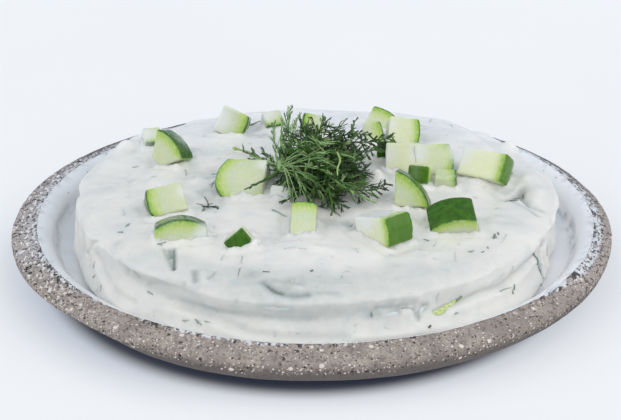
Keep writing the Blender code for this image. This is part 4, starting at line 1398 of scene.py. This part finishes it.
def on_side(angle, height):
    """The point of the dip's side at an angle in degrees and a height, and its normal."""
    out = level(angle)
    start = np.array([INSIDE_SHIFT, 0.0, height]) + out * 120
    spot, normal, _, _ = dip_hit.ray_cast(Vector(start), Vector(-out))
    return np.array(spot), np.array(normal)


def chopped(spot, normal, heading, length, thick, sunk_share, forks=0):
    """Threads of one chopped piece, lying on the surface at spot and running along heading."""
    heading = unit(heading - normal * (heading @ normal))
    sideways = np.cross(normal, heading)
    line = thread(spot - heading * length / 2, heading, length, sideways * rng.normal(0, 0.28), 6)
    pieces = [(line, thick, thick * 0.6)]
    for fork in range(forks):
        out = heading * 0.8 + sideways * (0.7 if fork % 2 else -0.7)
        pieces.append((thread(line[1 + fork % 3], out, length * 0.4, sideways * 0, 4), thick * 0.8, thick * 0.5))
    laid = []
    for path, start_thick, end_thick in pieces:
        points = []
        for point in path:
            near, facing, _, _ = dip_hit.find_nearest(Vector(point))
            points.append(np.array(near) + np.array(facing) * start_thick * (0.28 - 0.55 * sunk_share))
        laid.append((np.array(points), start_thick, end_thick, sunk_share))
    return laid


print("the dip under its middle:", on_dip(0, 0)[0].round(1))

# %% Lay the pieces that stand out
# place (x, y) on top, direction in degrees, length, thickness, how sunk, and forks if it has any
ON_TOP = [
    (-46, 6, -70, 6, 0.6, 0.6), (-36, 4, -80, 5, 0.6, 0.5, 2), (-36, -8, -100, 5, 0.55, 0.45, 1),
    (-37, -22, 30, 4, 0.7, 0.05, 2), (-34, -24, 120, 4, 0.7, 0.1, 2), (-38, -26, 70, 3, 0.7, 0.25, 1),
    (-36.5, -19, 80, 5, 0.5, 0.15, 1), (-39.5, -21.5, 160, 3, 0.5, 0.3, 1), (-11, -33, -35, 7, 0.8, 0.45),
    (-2, -31, 10, 5, 0.6, 0.6, 1), (9, -33, -30, 4, 0.7, 0.35, 1), (14, -41, 60, 3, 0.6, 0.55),
    (43, 57, 25, 4, 0.5, 0.65, 2), (47, 65, 100, 3, 0.5, 0.6), (56, 58, -70, 4, 0.5, 0.65, 1),
    (-19, 62, 40, 17, 0.8, 0.25), (-58, 2, 130, 3, 0.6, 0.7), (-59, -20, -60, 4, 0.5, 0.75),
    (-66, 16, 0, 2.4, 0.9, 0.6), (-58, 35, -20, 2, 0.7, 0.35), (-52, 12, 0, 3, 0.6, 0.75),
    (-64, -37, 60, 2.4, 0.7, 0.4, 2), (-66, -42, 150, 2, 0.7, 0.35, 1), (-47, -42, 20, 1.4, 0.5, 0.3),
    (-37, -41, 0, 1.4, 0.5, 0.4), (39, -50, 160, 2, 0.7, 0.45, 1), (42, -53, 60, 3, 0.5, 0.7),
    (37, -57, 10, 2, 0.5, 0.7, 1), (58, -56, 30, 1.4, 0.5, 0.3), (60, -53, 80, 1.2, 0.5, 0.25),
    (54, -56, 10, 2, 0.6, 0.4, 1), (63, -46, 55, 2.6, 0.8, 0.25, 2), (64.4, -44, 70, 1.4, 0.6, 0.2),
    (66, -47, 250, 6, 0.5, 0.8), (48, -60, 95, 6, 0.5, 0.8), (72, -12, 40, 6, 0.6, 0.5), (75, -9, 70, 4, 1.0, 0.6, 1),
    (66, -22, 30, 1.6, 0.5, 0.6), (62, 20, 10, 3, 0.5, 0.65, 1), (24, -54, 0, 1.6, 0.4, 0.7),
    (-15, -73, -10, 2.4, 0.5, 0.2), (0, -73.5, 50, 1.0, 0.9, 0.25, 2), (10, -76, 60, 1.4, 0.5, 0.6),
    (-23, -64, -80, 4, 0.4, 0.6), (-24, -72, -95, 5, 0.45, 0.5), (-51, -52, 10, 3, 0.8, 0.5, 1),
    (74, -8, 30, 6, 0.8, 0.25, 2), (72, -12, 15, 4, 0.6, 0.2, 1), (77, -4, 100, 3, 0.7, 0.3, 1),
    (71, 22, 80, 3, 0.6, 0.4, 1), (-6, -60, 5, 7, 1.4, 0.97), (-66, -26, 80, 5, 0.9, 0.9),
    (-30, -62, 80, 4, 0.8, 0.9),
]
# angle and height on the side, direction up from level in degrees, and the same again
ON_SIDE = [
    (-118, 15.0, 10, 2.4, 0.6, 0.6, 1), (-115, 15.8, -15, 3, 0.6, 0.5, 1), (-113, 16.4, 10, 2.4, 0.5, 0.6, 1),
    (-78, 20.0, 80, 1.8, 0.6, 0.35, 2), (-66, 14.6, 40, 1.2, 0.9, 0.15), (-59, 16.2, 10, 1.2, 0.6, 0.35),
    (-28, 18.4, 80, 5, 0.9, 0.3), (-26.6, 13.0, 85, 4, 1.0, 0.35, 1), (-41, 16.4, 60, 2, 0.6, 0.25, 1),
    (-42, 15.2, 70, 1.4, 0.7, 0.3), (-44, 17.4, 10, 6, 0.45, 0.5), (-57, 19.4, 25, 2.4, 1.0, 0.3),
    (-70, 20.8, 15, 4, 0.5, 0.55), (-34, 9.8, 30, 3, 0.7, 0.6, 2), (-30, 10.6, 20, 1.6, 0.6, 0.4),
    (-134, 23.4, -20, 3, 0.5, 0.6), (-129, 19.0, -10, 2.6, 0.6, 0.5), (-151, 17.0, 80, 3, 0.5, 0.65, 1),
    (-149, 14.2, 70, 1.4, 0.6, 0.45), (-144, 13.5, -40, 2, 0.5, 0.5), (-19, 16.0, 85, 4, 0.5, 0.6),
    (-24, 22.0, 70, 3, 0.5, 0.6), (-22, 17.0, 80, 2.4, 0.5, 0.5),
]
loose = []
for x, y, direction, *piece in ON_TOP:
    loose += chopped(*on_dip(x, y), level(direction), *piece)
for angle, height, direction, *piece in ON_SIDE:
    ahead = np.array([-math.sin(math.radians(angle)), math.cos(math.radians(angle)), 0.0])
    heading = ahead * math.cos(math.radians(direction)) + np.array([0, 0, math.sin(math.radians(direction))])
    loose += chopped(*on_side(angle, height), heading, *piece)
print("placed", len(loose), "threads")

# %% [markdown]
# The rest is scattered by chance, nearly all of it sunk: the dip is stirred, so no place is without a few.

# %% Scatter the rest
SCATTERED = 170
for _ in range(SCATTERED):
    angle, share = rng.uniform(0, 360), rng.uniform(0, 1)
    direction, length = rng.uniform(0, math.tau), rng.uniform(0.8, 3.0)
    thick, sunk_share = rng.uniform(0.35, 0.7), rng.uniform(0.72, 1.0)
    if share < 0.6:
        x, y, _ = 80 * math.sqrt(rng.uniform(0.12, 1.0)) * level(angle)
        spot, normal = on_dip(INSIDE_SHIFT + x, y)
    else:
        spot, normal = on_side(angle, rng.uniform(11.0, 24.0))
    heading = np.array([math.cos(direction), math.sin(direction), rng.normal(0, 0.5)])
    loose += chopped(spot, normal, heading, length, thick, sunk_share, int(rng.integers(0, 3) == 0))
herbs = tube_mesh("chopped_dill_on_dip", loose, 5, herb_finish)

# %% [markdown]
# Slivers of grated cucumber lie in the groove. The clearest one is yellow-green and flat. They are made as
# flattened, pointed ribbons laid on the surface, because a tube would look like a worm there.

# %% Finish of the grated cucumber
grated = Finish("grated_cucumber", subsurface_weight=0.4, subsurface_scale=0.001, ior=1.36)
strip = grated.layered(
    grated.mix(srgb(178, 198, 110), srgb(214, 222, 172), grated.soft(1.2, 3.0).ramp(0.35, 0.65)),
    ((216, 221, 218), grated.painted("shade").ramp(0.3, 1.0)),
)
grated_finish = grated.wear(
    base_color=strip,
    roughness=grated.soft(1.0).ramp(0.35, 0.65, 0.22, 0.36),
    normal=grated.bump(grated.soft(0.7, 3.0, (1.0, 1.0, 0.5)), 0.4, 0.3),
)

# %% Lay the slivers
# three stops (angle in degrees, height), width and how sunk
SLIVERS = [
    ((-65.2, 17.3), (-60, 18.4), (-55.0, 19.6), 3.2, 0.15),
    ((-77.5, 18.8), (-74, 19.4), (-70.5, 19.6), 2.2, 1.0),
    ((-68.0, 17.2), (-66.5, 19.4), (-64.2, 20.8), 1.8, 1.0),
    ((-103, 23.2), (-98, 22.6), (-93, 23.0), 2.2, 1.0),
    ((70, 15), (80, 17), (88, 16), 2.6, 0.9),
    ((150, 18), (158, 16), (166, 17), 2.4, 0.9),
]
RIBBON_SIDES = 10


def sliver(stops, width, sunk_share):
    """A flat pointed ribbon on the dip's side: rings of points across its length."""
    line = side_line(*stops)
    line = np.array([np.array(dip_hit.find_nearest(Vector(p))[0]) for p in line[::2]])
    bend = np.linspace(0, math.tau, RIBBON_SIDES, endpoint=False)
    rings = []
    for row, (spot, ahead) in enumerate(zip(line, np.gradient(line, axis=0))):
        normal = np.array(dip_hit.find_nearest(Vector(spot))[1])
        across = unit(np.cross(unit(ahead), normal))
        share = math.sin(math.pi * (row + 0.5) / len(line)) ** 0.6
        edge_wave = 1 + 0.25 * math.sin(1.7 * row + width * 9)
        ring = np.cos(bend)[:, None] * across * width / 2 * edge_wave + np.sin(bend)[:, None] * normal * 0.4
        rings.append(spot - normal * (0.12 + 0.2 * sunk_share) + ring * share)
    return np.concatenate(rings), len(line)


sliver_points, sliver_faces, sliver_shades = [], [], []
for *stops, width, sunk_share in SLIVERS:
    points, rows = sliver(stops, width, sunk_share)
    base = len(sliver_points)
    sliver_faces += [[base + i for i in face] for face in capped_faces(rows, RIBBON_SIDES)]
    sliver_points.extend(points)
    sliver_shades += [sunk_share] * len(points)
slivers = new_object("grated_cucumber_slivers", sliver_points, sliver_faces, grated_finish)
paint(slivers, "shade", sliver_shades)
print(len(SLIVERS), "slivers,", len(sliver_faces), "faces")

# %% [markdown]
# ## Joining the pieces to the frame
#
# Every piece rides on the part's only body. The solids that the pieces stand for are then hidden, but stay
# in the physics model. Chopped dill and slivers stand for no solid of their own.

# %% Ride and replace
for piece, slot_name in ((dish, "stoneware"), (dip, "yoghurt"), (tuft, "dill"), (core, "dill"), (herbs, "dill"),
                         (slivers, "cucumber"), *((die, "cucumber") for die in dice)):
    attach(piece, "root")
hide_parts("dish")
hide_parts("tzatziki")
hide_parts("dill_tuft")
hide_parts("dill_tuft")
for number, die in enumerate(dice, 1):
    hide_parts(f"cucumber_{number:02d}")
print("joined", 6 + len(dice), "pieces")

# %% [markdown]
# ## Table, light and camera
#
# The dish stands on a seamless white sweep in a bright studio. White walls throw light back on to the open
# sweep, so it glows a little. The glow fades out where the rim hangs over it, which leaves the close dark
# line under the foot, wider and bluer at the left. A real area of shade would need walls round the scene,
# so the sweep's own finish says how open each place is.

# %% The white sweep
SWEEP_REACH, SWEEP_DEPTH = 3000, -0.3
sweep_finish = Finish("white_sweep", ior=1.3, emission_strength=1.0)
sweep_x, sweep_y = (sweep_finish.along(axis) for axis in "XY")
from_dish = (((sweep_x + 2.0) * 1.075) ** 2.0 + sweep_y ** 2.0) ** 0.5
left_shade = (0.0 - sweep_x).ramp(10.0, 75.0) * (1.0 - from_dish.ramp(104.0, 128.0))
glow = sweep_finish.mix((0.43, 0.468, 0.535, 1), (0.335, 0.39, 0.49, 1), left_shade * 0.8)
sweep_tone = sweep_finish.layered(
    sweep_finish.mix(srgb(181, 176, 166), srgb(183, 178, 168), sweep_finish.soft(300.0).ramp(0.4, 0.6)),
    # painted shadow: the sweep's own colour darkens close round the foot, for the dark line under the rim
    ((98, 101, 116), (1.0 - from_dish.ramp(95.5, 102.0)) * 0.75),
)
paper = sweep_finish.wear(
    base_color=sweep_tone,
    roughness=0.9,
    emission_color=sweep_finish.mix((0.0, 0.005, 0.02, 1), glow, from_dish.ramp(97.6, 107.0)),
)
corners = [(x * SWEEP_REACH, y * SWEEP_REACH, SWEEP_DEPTH) for x, y in ((-1, -1), (1, -1), (1, 1), (-1, 1))]
sweep = new_object("white_sweep", corners, [[0, 1, 2, 3]], paper, smooth=False)

# %% [markdown]
# A broad bluish light from all round fills everything, and two large, slightly warm lights from the front
# right and the front left open up the sides. Suns with a wide angle do this: their shadows are as soft as
# a softbox's, and they are as bright at the back of the dish as at the front.

# %% Light
FILL_COLOUR, FILL_STRENGTH = (0.72, 0.86, 1.05, 1.0), 0.52
KEY_COLOUR, KEY_SPREAD = (1.0, 0.941, 0.86), 80
world = bpy.data.worlds.new("soft studio")
bpy.context.scene.world = world
world.use_nodes = True
world.node_tree.nodes["Background"].inputs["Color"].default_value = FILL_COLOUR
world.node_tree.nodes["Background"].inputs["Strength"].default_value = FILL_STRENGTH
for side, energy, direction in (("right", 1.46, (0.74, -0.36, 0.72)), ("left", 1.20, (-0.72, -0.40, 0.72))):
    sun_data = bpy.data.lights.new("soft light from the " + side, "SUN")
    sun_data.energy, sun_data.angle, sun_data.color = energy, math.radians(KEY_SPREAD), KEY_COLOUR
    sun = bpy.data.objects.new(sun_data.name, sun_data)
    sun.rotation_euler = Vector(direction).to_track_quat("Z", "Y").to_euler()
    bpy.context.scene.collection.objects.link(sun)
    print(sun.name, "at strength", energy)
bpy.context.scene.view_settings.view_transform = "Standard"

# %% [markdown]
# The camera looks along +Y from about 24 degrees above the table. A long lens keeps the far rim nearly as
# wide as the near one.

# %% Camera
AIM, DISTANCE = Vector((-0.00043, 0.0, 0.018526)), 0.66
ABOVE = math.radians(24.395)
camera_data = bpy.data.cameras.new("camera")
camera_data.sensor_width, camera_data.lens = 36.0, 103.59
camera = bpy.data.objects.new("camera", camera_data)
camera.location = AIM + DISTANCE * Vector((0, -math.cos(ABOVE), math.sin(ABOVE)))
camera.rotation_euler = (math.pi / 2 - ABOVE, 0, 0)
bpy.context.scene.collection.objects.link(camera)
bpy.context.scene.camera = camera
print("camera at", [round(v / MM) for v in camera.location], "mm")

# %% [markdown]
#
# The dressed model must be as large as the solids.
